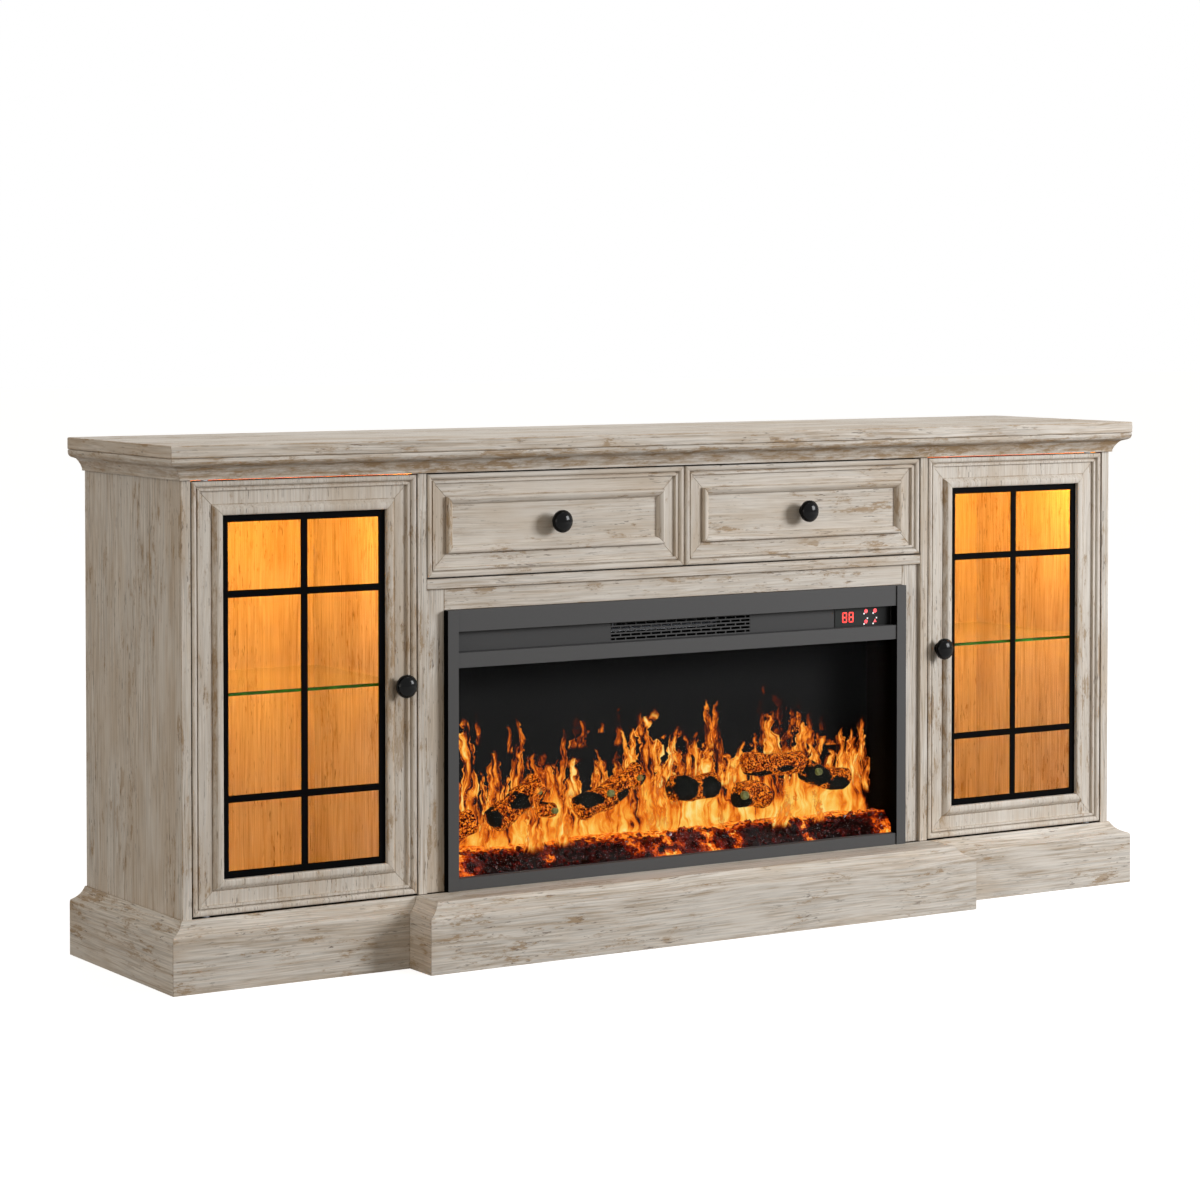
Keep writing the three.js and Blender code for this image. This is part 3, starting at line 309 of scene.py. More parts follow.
class Shading:
    """Adds nodes to a tree. An input given as a socket is linked, and a value is set."""

    def __init__(self, tree):
        self.tree = tree

    def fill(self, node, inputs):
        """Links or sets the inputs of a node that is there already."""
        for key, value in inputs.items():
            if isinstance(value, bpy.types.NodeSocket):
                self.tree.links.new(value, node.inputs[key])
            else:
                node.inputs[key].default_value = value

    def add(self, kind, inputs=None, **settings):
        node = self.tree.nodes.new(kind)
        for name, value in settings.items():
            setattr(node, name, value)
        self.fill(node, inputs or {})
        return node

    def use(self, group, inputs):
        return self.add("ShaderNodeGroup", inputs, node_tree=group).outputs

    def attribute(self, name):
        return self.add("ShaderNodeAttribute", attribute_name=name).outputs["Fac"]

    def object_place(self):
        return self.add("ShaderNodeTexCoord").outputs["Object"]

    def parts(self, place):
        return self.add("ShaderNodeSeparateXYZ", {0: place}).outputs

    def joined(self, x, y, z):
        return self.add("ShaderNodeCombineXYZ", {0: x, 1: y, 2: z}).outputs[0]

    def shifted(self, place, by):
        return self.add("ShaderNodeVectorMath", {0: place, 1: by}, operation="ADD").outputs[0]

    def stretched(self, place, factors):
        return self.add("ShaderNodeVectorMath", {0: place, 1: factors}, operation="MULTIPLY").outputs[0]

    def maths(self, operation, a, b=0.0, c=0.0, clamp=False):
        inputs = {0: a, 1: b, 2: c}
        return self.add("ShaderNodeMath", inputs, operation=operation, use_clamp=clamp).outputs[0]

    def plus(self, a, b):
        return self.maths("ADD", a, b)

    def minus(self, a, b):
        return self.maths("SUBTRACT", a, b)

    def times(self, a, b):
        return self.maths("MULTIPLY", a, b)

    def times_plus(self, a, b, c):
        return self.maths("MULTIPLY_ADD", a, b, c)

    def noise(self, place, scale=1.0, detail=3.0, roughness=0.5, distortion=0.0):
        inputs = {
            "Vector": place, "Scale": scale, "Detail": detail,
            "Roughness": roughness, "Distortion": distortion,
        }
        return self.add("ShaderNodeTexNoise", inputs).outputs[0]

    def stretched_noise(self, place, stretch, detail=3.0, roughness=0.5):
        return self.noise(self.stretched(place, stretch), detail=detail, roughness=roughness)

    def span(self, value, low, high, to_low=0.0, to_high=1.0, smooth=False):
        """Turns the range from low to high into another, and stays at its ends beyond them."""
        style = "SMOOTHSTEP" if smooth else "LINEAR"
        inputs = {0: value, 1: low, 2: high, 3: to_low, 4: to_high}
        return self.add("ShaderNodeMapRange", inputs, interpolation_type=style).outputs[0]

    def spread(self, noise_value, to_low=0.0, to_high=1.0):
        """Turns the range in which most of a noise lies into another."""
        return self.span(noise_value, *NOISE_RANGE, to_low, to_high)

    def blend(self, share, a, b, style="MIX"):
        inputs = {0: share, 6: a, 7: b}
        return self.add("ShaderNodeMix", inputs, data_type="RGBA", blend_type=style).outputs[2]

    def overlaid(self, ground, share, colour):
        """A ground with a share of a screen colour laid over it."""
        return self.blend(share, ground, screen_colour(colour))

    def between(self, share, a, b):
        """A screen colour between two others."""
        return self.blend(share, screen_colour(a), screen_colour(b))

    def grey(self, tone):
        return self.joined(tone, tone, tone)

    def toned(self, colour, tone):
        """A colour made darker or lighter by a tone, which is 1 where it stays."""
        return self.blend(1.0, colour, self.grey(tone), "MULTIPLY")

    def ramp(self, value, stops):
        node = self.add("ShaderNodeValToRGB", {0: value})
        elements = node.color_ramp.elements
        elements[0].position = stops[0][0]
        elements[1].position = stops[-1][0]
        for place, _ in stops[1:-1]:
            elements.new(place)
        for element, (_, colour) in zip(elements, stops):
            element.color = screen_colour(colour)
        return node.outputs[0]

    def bump(self, strength, distance, height):
        inputs = {"Strength": strength, "Distance": distance, "Height": height}
        return self.add("ShaderNodeBump", inputs).outputs[0]


def new_group(name, inputs, outputs):
    """An empty node group: its Shading, the sockets it is given and its output node. Inputs come with
    their values, of which tuples are vectors, and the output named Color is a colour."""
    tree = bpy.data.node_groups.new(name, "ShaderNodeTree")
    for socket_name, value in inputs.items():
        kind = "NodeSocketVector" if isinstance(value, tuple) else "NodeSocketFloat"
        socket = tree.interface.new_socket(name=socket_name, in_out="INPUT", socket_type=kind)
        socket.default_value = value
    for socket_name in outputs:
        kind = "NodeSocketColor" if socket_name == "Color" else "NodeSocketFloat"
        tree.interface.new_socket(name=socket_name, in_out="OUTPUT", socket_type=kind)
    given = tree.nodes.new("NodeGroupInput").outputs
    return Shading(tree), given, tree.nodes.new("NodeGroupOutput")


def new_material(name):
    """An empty material, its Shading, its Principled shader and its output node."""
    material = bpy.data.materials.new(name)
    material.use_nodes = True
    shading = Shading(material.node_tree)
    material.node_tree.nodes.clear()
    shader = shading.add("ShaderNodeBsdfPrincipled")
    out = shading.add("ShaderNodeOutputMaterial", {0: shader.outputs[0]})
    return material, shading, shader, out


def washed_grain_group():
    """Whitewashed wood whose grain runs along the x of the place that it is given."""
    s, given, put = new_group(
        "washed_grain",
        {"Place": (0, 0, 0), "Board": 0.0, "Wear And Shade": 0.0, "Wear": 0.5, "Grain": 1.0},
        ("Color", "Roughness", "Height"),
    )
    board = s.times(given["Board"], BOARD_JUMP)
    moved = s.shifted(given["Place"], s.joined(board, s.times(board, BOARD_JUMP_ACROSS), board))
    bend = s.span(s.stretched_noise(moved, *FIGURE), *FIGURE_BEND)
    place = s.shifted(moved, s.joined(0.0, bend, bend))

    clouds = s.stretched_noise(moved, *CLOUDS)
    patches = s.stretched_noise(moved, *PATCHES)
    tans = s.stretched_noise(moved, *TANS)
    streaks = s.stretched_noise(place, *STREAKS)
    bands = s.stretched_noise(place, *BANDS)
    lines = s.stretched_noise(place, *LINES)
    fibres = s.stretched_noise(place, *FIBRES)
    flecks = s.stretched_noise(place, *FLECKS)
    scratches = s.stretched_noise(place, *SCRATCHES)

    # The wash itself
    tone = s.plus(s.times(streaks, STREAK_WEIGHT), s.times(bands, BAND_WEIGHT))
    tone = s.times_plus(s.minus(tone, WASH_LEVEL), given["Grain"], WASH_LEVEL)
    ground = s.ramp(tone, WASH_RAMP)
    fine = s.times(s.span(lines, *LINE_TONE), s.span(fibres, *FIBRE_TONE))
    fine = s.times_plus(s.minus(fine, 1.0), given["Grain"], 1.0)
    ground = s.toned(ground, s.times(fine, s.spread(clouds, *CLOUD_TONE)))
    ground = s.overlaid(ground, s.span(tans, *TAN_SHARE, smooth=True), WASH_TAN)
    ground = s.overlaid(ground, s.span(clouds, *BLEACH_SHARE, smooth=True), WASH_PALE)

    # Worn patches with a stain round them
    cloud_help = s.times(s.span(clouds, *CLOUD_WEAR), CLOUD_WEAR_WEIGHT)
    worn = s.minus(s.plus(patches, cloud_help), s.span(given["Wear"], *WEAR_LIMIT))
    ground = s.overlaid(ground, s.span(worn, *STAIN_SHARE, smooth=True), WORN_BROWN)
    worn = s.times(s.span(worn, *WORN_RANGE), s.span(scratches, *SCRATCH_WEAR))
    ground = s.overlaid(ground, s.times(worn, WORN_WEIGHT), WORN_BROWN)

    # Dark streaks and pores
    stain = s.times(s.span(streaks, *STREAK_STAIN, smooth=True), s.span(bands, *BAND_STAIN))
    stain = s.times(stain, given["Grain"])
    ground = s.overlaid(ground, s.times(stain, STREAK_STAIN_WEIGHT), WORN_BROWN)
    fleck = s.times(s.span(flecks, *FLECK_RANGE), s.span(clouds, *CLOUD_FLECKS))
    ground = s.overlaid(ground, s.times(fleck, FLECK_WEIGHT), PORE_BROWN)
    # Worn edges, and faces marked for painted shade, take the worn brown
    worn_and_shaded = s.times(given["Wear And Shade"], s.span(patches, *WEAR_AND_SHADE_SHARE))

    height = s.plus(s.times(streaks, STREAK_HEIGHT), s.times(fibres, FIBRE_HEIGHT))
    height = s.minus(height, s.times(worn, WORN_DEPTH))
    height = s.minus(height, s.times(fleck, FLECK_DEPTH))
    s.fill(put, {
        "Color": s.overlaid(ground, worn_and_shaded, WORN_BROWN),
        "Roughness": s.span(worn, *WORN_ROUGHNESS), "Height": height,
    })
    return s.tree


def speckle_group():
    """A fine painted texture: a height with small bumps, and a slow change of tone."""
    s, given, put = new_group(
        "paint_speckle",
        {"Place": (0, 0, 0), "Fineness": SPECKLE_FINENESS},
        ("Tone", "Height", "Roughness Shift"),
    )
    bumps = s.noise(given["Place"], scale=given["Fineness"], detail=2.0)
    clouds = s.noise(given["Place"], scale=SPECKLE_CLOUDS)
    s.fill(put, {
        "Tone": s.plus(s.spread(bumps, *SPECKLE_TONE), s.spread(clouds, *SPECKLE_CLOUD_TONE)),
        "Height": bumps, "Roughness Shift": s.spread(clouds, *SPECKLE_SHIFT),
    })
    return s.tree


washed_grain = washed_grain_group()
paint_speckle = speckle_group()


def washed_wood(name, order, wear=0.5, grain_strength=1.0):
    """Washed wood with its grain along one axis: order says which of x, y and z comes first."""
    material, s, shader, _ = new_material(name)
    along = s.parts(s.object_place())
    grain = s.use(washed_grain, {
        "Place": s.joined(*(along[i] for i in order)), "Board": s.attribute("board"),
        "Wear And Shade": s.attribute("wear_and_shade"), "Wear": wear, "Grain": grain_strength,
    })
    s.fill(shader, {
        "Base Color": grain["Color"], "Roughness": grain["Roughness"],
        "Normal": s.bump(WOOD_BUMP, WOOD_BUMP_DEPTH, grain["Height"]), "Specular IOR Level": WOOD_SHINE,
    })
    return material


def painted(name, colour, roughness, fineness, bumps, specular, recess=None, dim=None):
    """A painted or moulded surface with a fine texture. Recess gives the heights of a channel's floor and
    roof, in whose corners painted shade darkens it, and dim the places along x between which painted
    shade turns it black."""
    material, s, shader, _ = new_material(name)
    place = s.object_place()
    speckle = s.use(paint_speckle, {"Place": place, "Fineness": fineness})
    tone = speckle["Tone"]
    # Painted shade in the corners under the channel's roof and on its floor
    if recess:
        floor, roof = recess
        height = s.parts(place)[2]
        under_roof = s.span(height, roof - ROOF_SHADE, roof - ROOF_SHADE / 3, 1.0, ROOF_TONE, smooth=True)
        on_floor = s.span(height, floor + FINE_ROUND, floor + FLOOR_SHADE, FLOOR_TONE, 1.0, smooth=True)
        tone = s.times(tone, s.times(under_roof, on_floor))
    # Painted shade towards the display's right end
    if dim:
        tone = s.times(tone, s.span(s.parts(place)[0], *dim, 1.0, DIMMED_TONE, smooth=True))
    s.fill(shader, {
        "Base Color": s.toned(screen_colour(colour), tone),
        "Roughness": s.plus(speckle["Roughness Shift"], roughness),
        "Normal": s.bump(bumps, PAINT_BUMP_DEPTH, speckle["Height"]), "Specular IOR Level": specular,
    })
    return material


def cased_steel(name, back):
    """Sheet steel that is black on the fire's side and grey on its outer back, which lies at y = back."""
    material, s, shader, _ = new_material(name)
    place = s.object_place()
    speckle = s.use(paint_speckle, {"Place": place, "Fineness": SPECKLE_FINENESS})
    outside = s.span(s.parts(place)[1], back - CASE_SKIN, back - CASE_SKIN / 2)
    s.fill(shader, {
        "Base Color": s.toned(s.between(outside, FIREBOX_BLACK, CASE_GREY), speckle["Tone"]),
        "Roughness": s.plus(speckle["Roughness Shift"], CASE_ROUGHNESS), "Specular IOR Level": CASE_SHINE,
    })
    return material


def steel(name):
    material, s, shader, _ = new_material(name)
    brushed = s.stretched_noise(s.object_place(), *BRUSHING)
    s.fill(shader, {
        "Base Color": s.between(s.spread(brushed), STEEL_GREY, STEEL_PALE),
        "Roughness": s.spread(brushed, *BRUSHED_ROUGHNESS), "Metallic": 1.0,
    })
    return material


def clear_glass(name, density, smear, tint=GLASS_CLEAR, lets_light_in=False):
    """Clear glass with faint smears. A low density keeps its mirror image weak."""
    material, s, shader, out = new_material(name)
    smears = s.noise(s.object_place(), scale=SMEAR_SCALE, detail=2.0)
    s.fill(shader, {
        "Base Color": screen_colour(tint), "Roughness": s.spread(smears, 0.0, smear),
        "Transmission Weight": 1.0, "IOR": density,
    })
    if lets_light_in:
        path = s.add("ShaderNodeLightPath").outputs["Is Shadow Ray"]
        open_way = s.add("ShaderNodeBsdfTransparent").outputs[0]
        mixed = s.add("ShaderNodeMixShader", {0: path, 1: shader.outputs[0], 2: open_way})
        s.fill(out, {0: mixed.outputs[0]})
    return material


def shelf_edge_glass():
    """The cut edge of the shelf, where the glass shows green."""
    material, s, shader, _ = new_material("shelf_edge")
    ripple = s.stretched_noise(s.object_place(), *EDGE_RIPPLE)
    s.fill(shader, {
        "Base Color": s.between(s.span(ripple, *EDGE_RIPPLE_RANGE), *SHELF_EDGE_GREENS),
        "Roughness": EDGE_ROUGHNESS, "Specular IOR Level": EDGE_SHINE,
    })
    return material


def glowing(name, colour, strength):
    """A lit surface whose light changes a little from place to place."""
    material, s, shader, _ = new_material(name)
    flicker = s.noise(s.object_place(), scale=FLICKER_SCALE, detail=1.0)
    s.fill(shader, {
        "Emission Color": s.between(s.spread(flicker, 0.0, FLICKER_SHARE), colour, GLARE),
        "Base Color": screen_colour(colour), "Emission Strength": strength,
    })
    return material


def brown_board():
    """The plain pressed board of the back and the drawer boxes."""
    material, s, shader, _ = new_material("brown_board")
    place = s.object_place()
    fibres = s.stretched_noise(place, *BOARD_FIBRES)
    clouds = s.noise(place, scale=BOARD_CLOUDS, detail=2.0)
    share = s.plus(s.times(fibres, BOARD_FIBRE_WEIGHT), s.times(clouds, BOARD_CLOUD_WEIGHT))
    s.fill(shader, {
        "Base Color": s.between(s.spread(share), BOARD_SHADE, BOARD_BROWN), "Roughness": BOARD_ROUGHNESS,
        "Normal": s.bump(BOARD_BUMP, BOARD_BUMP_DEPTH, fibres),
    })
    return material


ALONG_X, ALONG_Y, ALONG_Z = (0, 1, 2), (1, 0, 2), (2, 0, 1)
LEVEL = washed_wood("washed_wood_level", ALONG_X, wear=0.36)
CROWN_WOOD = washed_wood("washed_wood_crown", ALONG_X, wear=0.66)
UPRIGHT = washed_wood("washed_wood_upright", ALONG_Z, wear=0.34)
DOOR_WOOD = washed_wood("washed_wood_door", ALONG_Z, wear=0.46, grain_strength=0.5)
RAIL_WOOD = washed_wood("washed_wood_rail", ALONG_Z, wear=0.22, grain_strength=0.45)
FRONT_WOOD = washed_wood("washed_wood_front", ALONG_X, wear=0.42, grain_strength=0.62)
BACK_WOOD = washed_wood("washed_wood_back", ALONG_Z, wear=0.20, grain_strength=0.7)
DEEP = washed_wood("washed_wood_deep", ALONG_Y)
BACKING = brown_board()

RECESS = tuple(corner.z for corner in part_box("vent_grille"))
POWDER = {"roughness": 0.62, "fineness": 1500.0, "bumps": 0.16}
FRAME_GREY = painted("charcoal_powder_paint", CHARCOAL, **POWDER, specular=0.26)
# The strip and the grille take painted shade in the corners of their channel
STRIP_GREY = painted("strip_paint", STRIP_TONE, **POWDER, specular=0.2, recess=RECESS)
GRILLE_GREY = painted("grille_paint", GRILLE_TONE, **POWDER, specular=0.15, recess=RECESS)
BLACK = painted(
    "black_powder_paint", BLACK_PAINT, roughness=0.5, fineness=1400.0, bumps=0.10, specular=0.02,
)
# Painted shade: dark brown for the gaps round the fronts, under the mouldings and under the doors
SHADE_PAINT = painted(
    "shade_paint", SHADE_BROWN, roughness=0.8, fineness=700.0, bumps=0.2, specular=0.1,
)
# Black for the insert frame's faces that look left or right, which paints shade on its outer sides
FRAME_SIDE_SHADE = painted(
    "frame_side_shade", FIREBOX_BLACK, roughness=0.8, fineness=900.0, bumps=0.1, specular=0.02,
)
KNOB_GLOSS = painted(
    "knob_enamel", KNOB_BLACK, roughness=0.14, fineness=1200.0, bumps=0.015, specular=0.14,
)
# The display window, with painted shade in the channel's corners and towards its right end
DISPLAY_DARK = painted(
    "display_window", DISPLAY_GREY, roughness=0.35, fineness=1500.0, bumps=0.03, specular=0.1,
    recess=RECESS, dim=DISPLAY_FADE,
)
FIREBOX_STEEL = cased_steel("firebox_steel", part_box("firebox")[1].y)
STEEL = steel("zinc_plated_steel")

DOOR_GLASS = clear_glass("door_glass", density=1.10, smear=0.02)
SHELF_GLASS = clear_glass(
    "shelf_glass", density=1.07, smear=0.03, tint=GLASS_GREENISH, lets_light_in=True,
)
FIRE_GLASS = clear_glass("fire_glass", density=1.05, smear=0.006)
SHELF_EDGE = shelf_edge_glass()
LED_GLOW = glowing("led_cover", LED_WARM, strength=3.0)
# A glowing strip painted as the cabinet's light in the gap above the doors
LEAK_GLOW = glowing("door_top_glow", LEAK_RED, strength=2.4)
DIGIT_GLOW = glowing("digit_glow", DIGIT_RED, strength=1.0)
KEY_GLOW = glowing("key_glow", KEY_PINK, strength=1.0)
MARK_WHITE = glowing("key_mark", KEY_MARK_GREY, strength=0.8)


# Meshes

WOOD_VALUES = ("board", "wear_and_shade")
FIRE_VALUES = ("seed", "hotness")
SIDE_SLOT = 2


def add_to_scene(thing):
    bpy.context.scene.collection.objects.link(thing)


def new_piece(name, bm, materials, body, slot, *replaced):
    """Turns a bmesh into a piece that rides on a body."""
    mesh = bpy.data.meshes.new(name)
    bm.to_mesh(mesh)
    bm.free()
    piece = bpy.data.objects.new(name, mesh)
    add_to_scene(piece)
    for material in materials:
        mesh.materials.append(material)
    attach(piece, body)
    if replaced:
        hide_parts(*replaced)
    return piece


def slot_of(node):
    return next(part["material_slot"] for part in frame["record"]["subparts"] if part["node"] == node)


def finished_piece(node, bm, materials):
    """The piece that stands for a CAD node, on the node's body."""
    body = frame["nodes"][node]["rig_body"]
    return new_piece(f"{node}_finished", bm, materials, body, slot_of(node), node)


def repaint(node, material):
    frame["nodes"][node].data.materials[0] = material


def shade_smooth(piece):
    for face in piece.data.polygons:
        face.use_smooth = True


def soften(piece, angle=SMOOTH_ANGLE):
    """Smooth shading up to an angle."""
    shade_smooth(piece)
    piece.data.set_sharp_from_angle(angle=angle)


def smooth(piece):
    """Smooth shading with normals that keep large faces flat."""
    soften(piece)
    weighted = piece.modifiers.new("even_normals", "WEIGHTED_NORMAL")
    weighted.keep_sharp = True


def empty_mesh(names=WOOD_VALUES):
    """A bmesh whose face corners carry the values that its materials read."""
    bm = bmesh.new()
    for name in names:
        bm.loops.layers.float.new(name)
    return bm


def cad_copy(node):
    """A CAD node's solid as a clean bmesh with its flat faces whole."""
    bm = bmesh.new()
    bm.from_mesh(frame["nodes"][node].data)
    for name in WOOD_VALUES:
        bm.loops.layers.float.new(name)
    for layers in (bm.loops.layers.uv, bm.loops.layers.color):
        for layer in list(layers.values()):
            layers.remove(layer)
    bmesh.ops.remove_doubles(bm, verts=bm.verts, dist=MERGE_REACH)
    bmesh.ops.dissolve_limit(bm, angle_limit=FLAT_ANGLE, verts=bm.verts, edges=bm.edges)
    for face in bm.faces:
        face.material_index = 0
    return bm


def faces_of(verts):
    return {face for vert in verts for face in vert.link_faces}


def mark(bm, name, value, faces=None):
    """Writes a value on the corners of faces, for a material to read."""
    layer = bm.loops.layers.float[name]
    for face in faces if faces is not None else bm.faces:
        for loop in face.loops:
            loop[layer] = value


def board_number(name):
    """A steady number for each board, so that no two show the same grain."""
    total = sum((place + 1) * ord(letter) for place, letter in enumerate(name))
    return total % BOARD_COUNT / BOARD_SPACING


def round_edges(bm, width, segments=2):
    """Rounds the sharp edges and marks the new faces as worn."""
    joints = [edge for edge in bm.edges if len(edge.link_faces) == 2]
    sharp = [edge for edge in joints if edge.calc_face_angle() > SHARP_ANGLE]
    made = bmesh.ops.bevel(
        bm, geom=sharp, offset=width, offset_type="OFFSET", affect="EDGES", segments=segments,
        profile=0.5, material=-1, clamp_overlap=True,
    )
    mark(bm, "wear_and_shade", 1.0, made["faces"])


def eased_copy(node, width=EDGE_ROUND, segments=2):
    """A CAD node's solid with rounded edges and its own part of the grain."""
    bm = cad_copy(node)
    round_edges(bm, width, segments)
    mark(bm, "board", board_number(node))
    return bm


def add_box(bm, low, high):
    """A box between two corners, in the bmesh."""
    made = bmesh.ops.create_cube(bm, size=1.0)["verts"]
    size = [high[i] - low[i] for i in range(3)]
    middle = [(high[i] + low[i]) / 2 for i in range(3)]
    bmesh.ops.scale(bm, vec=size, verts=made)
    bmesh.ops.translate(bm, vec=middle, verts=made)
    return made


def turn_verts(bm, verts, angle, axis):
    bmesh.ops.rotate(bm, cent=(0, 0, 0), matrix=Matrix.Rotation(angle, 3, axis), verts=verts)


def face_outwards(bm):
    bmesh.ops.recalc_face_normals(bm, faces=bm.faces)


def paint_ends(bm, limit):
    """Gives the faces that look to the left or right the second material."""
    for face in bm.faces:
        if abs(face.normal.x) > limit:
            face.material_index = 1


def curve(start, end, lean, steps=CURVE_STEPS):
    """Points of a smooth curve from one profile point to the next, without the first."""
    pull = [start[i] + (end[i] - start[i]) * lean[i] for i in (0, 1)]
    points = []
    for step in range(1, steps + 1):
        t = step / steps
        points.append(tuple(
            (1 - t) ** 2 * start[i] + 2 * t * (1 - t) * pull[i] + t * t * end[i] for i in (0, 1)
        ))
    return points


def add_run(bm, profile, length, start_mitre, end_mitre):
    """A moulding along x from 0 to length. Profile points are (reach, height): reach goes to -y and
    height to z. A mitre of 1 is an outer corner, -1 an inner corner and 0 a square end."""
    start = [bm.verts.new((0, -reach, height)) for reach, height in profile]
    cap = bm.faces.new(start)
    made = bmesh.ops.extrude_face_region(bm, geom=[cap])["geom"]
    end = [item for item in made if isinstance(item, bmesh.types.BMVert)]
    for vert in start:
        vert.co.x = MITRE_GAP / 2 + vert.co.y * start_mitre
    for vert in end:
        vert.co.x = length - MITRE_GAP / 2 - vert.co.y * end_mitre
    return start + end


# Cabinet boards

def plain_board(node, material):
    smooth(finished_piece(node, eased_copy(node), [material]))


def make_bay_floor():
    """The bottom board. Its front strip, over which the closed doors stand, is painted dark as the shade
    in the gap under the doors.
    """
    bm = eased_copy("bottom_panel")
    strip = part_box("bottom_panel")[0].y + SHADED_STRIP
    everything = bm.verts[:] + bm.edges[:] + bm.faces[:]
    bmesh.ops.bisect_plane(bm, geom=everything, plane_co=(0, strip, 0), plane_no=(0, 1, 0))
    for face in bm.faces:
        if face.calc_center_median().y < strip:
            face.material_index = 1
    smooth(finished_piece("bottom_panel", bm, [LEVEL, SHADE_PAINT]))


def make_boards():
    for node in ("side_panel_left", "side_panel_right", "partition_left", "partition_right",
                 "fireplace_stile_left", "fireplace_stile_right"):
        plain_board(node, UPRIGHT)
    for node in ("drawer_deck", "plinth_ledge", "drawer_divider"):
        plain_board(node, LEVEL)
    plain_board("fireplace_header", FRONT_WOOD)
    make_bay_floor()
    bm = eased_copy("top_panel")
    paint_ends(bm, LEANING)
    smooth(finished_piece("top_panel", bm, [LEVEL, DEEP]))
    bm = cad_copy("back_panel")
    mark(bm, "board", board_number("back_panel"))
    for face in bm.faces:
        face.material_index = 0 if face.normal.y < -FACING else 1
    finished_piece("back_panel", bm, [BACK_WOOD, BACKING])


def crown_profile(foot, height):
    lip = CROWN_LIP
    cove = (lip[0] + CROWN_COVE[0], lip[1] + CROWN_COVE[1])
    step = (cove[0] + CROWN_STEP[0], cove[1] + CROWN_STEP[1])
    shoulder = (step[0] + CROWN_ROUND[0], step[1] + CROWN_ROUND[1])
    points = [(MOULDING_ROOM, 0), (lip[0], 0), lip]
    points += curve(lip, cove, COVE_LEAN)
    points += [step] + curve(step, shoulder, CROWN_ROUND_LEAN)
    points += [(shoulder[0], height), (MOULDING_ROOM, height)]
    return [(reach, foot + rise) for reach, rise in points]


def plinth_profile(height):
    edge = (MOULDING_REACH, PLINTH_FACE_HEIGHT)
    shoulder = (MOULDING_REACH - PLINTH_ROUND[0], PLINTH_FACE_HEIGHT + PLINTH_ROUND[1])
    lip = (PLINTH_LIP_REACH, height)
    points = [(MOULDING_ROOM, 0), (MOULDING_REACH, 0), edge]
    points += curve(edge, shoulder, PLINTH_EDGE_LEAN) + curve(shoulder, lip, PLINTH_SLOPE_LEAN)
    return points + [(MOULDING_ROOM, height)]


def moulding_piece(node, profile, length, mitres, place, turn, material, extra=None):
    """One moulding that stands for its CAD node."""
    bm = empty_mesh()
    verts = add_run(bm, profile, length, *mitres)
    turn_verts(bm, verts, turn, "Z")
    bmesh.ops.translate(bm, vec=(*place, 0), verts=verts)
    face_outwards(bm)
    round_edges(bm, FINE_ROUND)
    if extra:
        add_box(bm, *extra)
    mark(bm, "board", board_number(node))
    foot = min(vert.co.z for vert in bm.verts)
    # Faces under the foot get the dark brown of painted shade, and cove faces that look down are marked
    # for painted shade in the worn brown
    for face in bm.faces:
        if face.normal.z < -FACING and face.calc_center_median().z < foot + FINE_ROUND:
            face.material_index = 1
        elif face.normal.z < COVE_TILT:
            mark(bm, "wear_and_shade", COVE_SHADE, [face])
    smooth(finished_piece(node, bm, [material, SHADE_PAINT]))


def make_mouldings():
    side_low, side_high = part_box("side_panel_left")
    outer = -side_low.x
    front, back = side_low.y, side_high.y
    depth = back - front
    quarter = math.pi / 2
    crown_low, crown_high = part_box("crown_left")
    crown = crown_profile(crown_low.z, crown_high.z - crown_low.z)
    rail_low, rail_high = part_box("crown_front")
    inner = side_high.x + MOULDING_ROOM
    rail = ((inner, front, rail_low.z), (-inner, rail_high.y, rail_high.z))
    moulding_piece("crown_front", crown, 2 * outer, (1, 1), (-outer, front), 0, CROWN_WOOD, rail)
    moulding_piece("crown_left", crown, depth, (0, 1), (-outer, back), -quarter, DEEP)
    moulding_piece("crown_right", crown, depth, (1, 0), (outer, front), quarter, DEEP)

    base_low, base_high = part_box("plinth_centre")
    plinth = plinth_profile(base_high.z)
    base = base_high.x - MOULDING_REACH
    step_front = base_low.y + MOULDING_REACH
    step = front - step_front
    moulding_piece("plinth_front_left", plinth, outer - base, (1, -1), (-outer, front), 0, LEVEL)
    moulding_piece("plinth_front_right", plinth, outer - base, (-1, 1), (base, front), 0, LEVEL)
    moulding_piece("plinth_side_left", plinth, depth, (0, 1), (-outer, back), -quarter, DEEP)
    moulding_piece("plinth_side_right", plinth, depth, (1, 0), (outer, front), quarter, DEEP)
    moulding_piece("plinth_centre", plinth, 2 * base, (1, 1), (-base, step_front), 0, LEVEL)
    moulding_piece("plinth_return_left", plinth, step, (-1, 1), (-base, front), -quarter, DEEP)
    moulding_piece("plinth_return_right", plinth, step, (1, -1), (base, step_front), quarter, DEEP)


# Doors and drawers

def border_profile():
    """The moulded border that doors and drawer fronts share."""
    edge, crest = (0, BEAD_DROP), (BEAD_WIDTH / 2, 0)
    quirk = (BEAD_WIDTH, QUIRK_DEPTH)
    fillet = BEAD_WIDTH + QUIRK_WIDTH
    points = [(0, FRONT_THICKNESS), edge]
    points += curve(edge, crest, DEPTH_FIRST) + curve(crest, quirk, INSET_FIRST)
    points += [(fillet, QUIRK_DEPTH), (fillet, FILLET_DEPTH), (FLAT_INSET, FILLET_DEPTH)]
    return points + [(FLAT_INSET, FLAT_DEPTH), (INNER_INSET, FLAT_DEPTH)]


def groove_to(foot):
    """The groove round the inner edge of the border, up to the foot of the slope behind it."""
    floor = FLAT_DEPTH + GROOVE
    return [(INNER_INSET, floor), (foot[0], floor), foot]


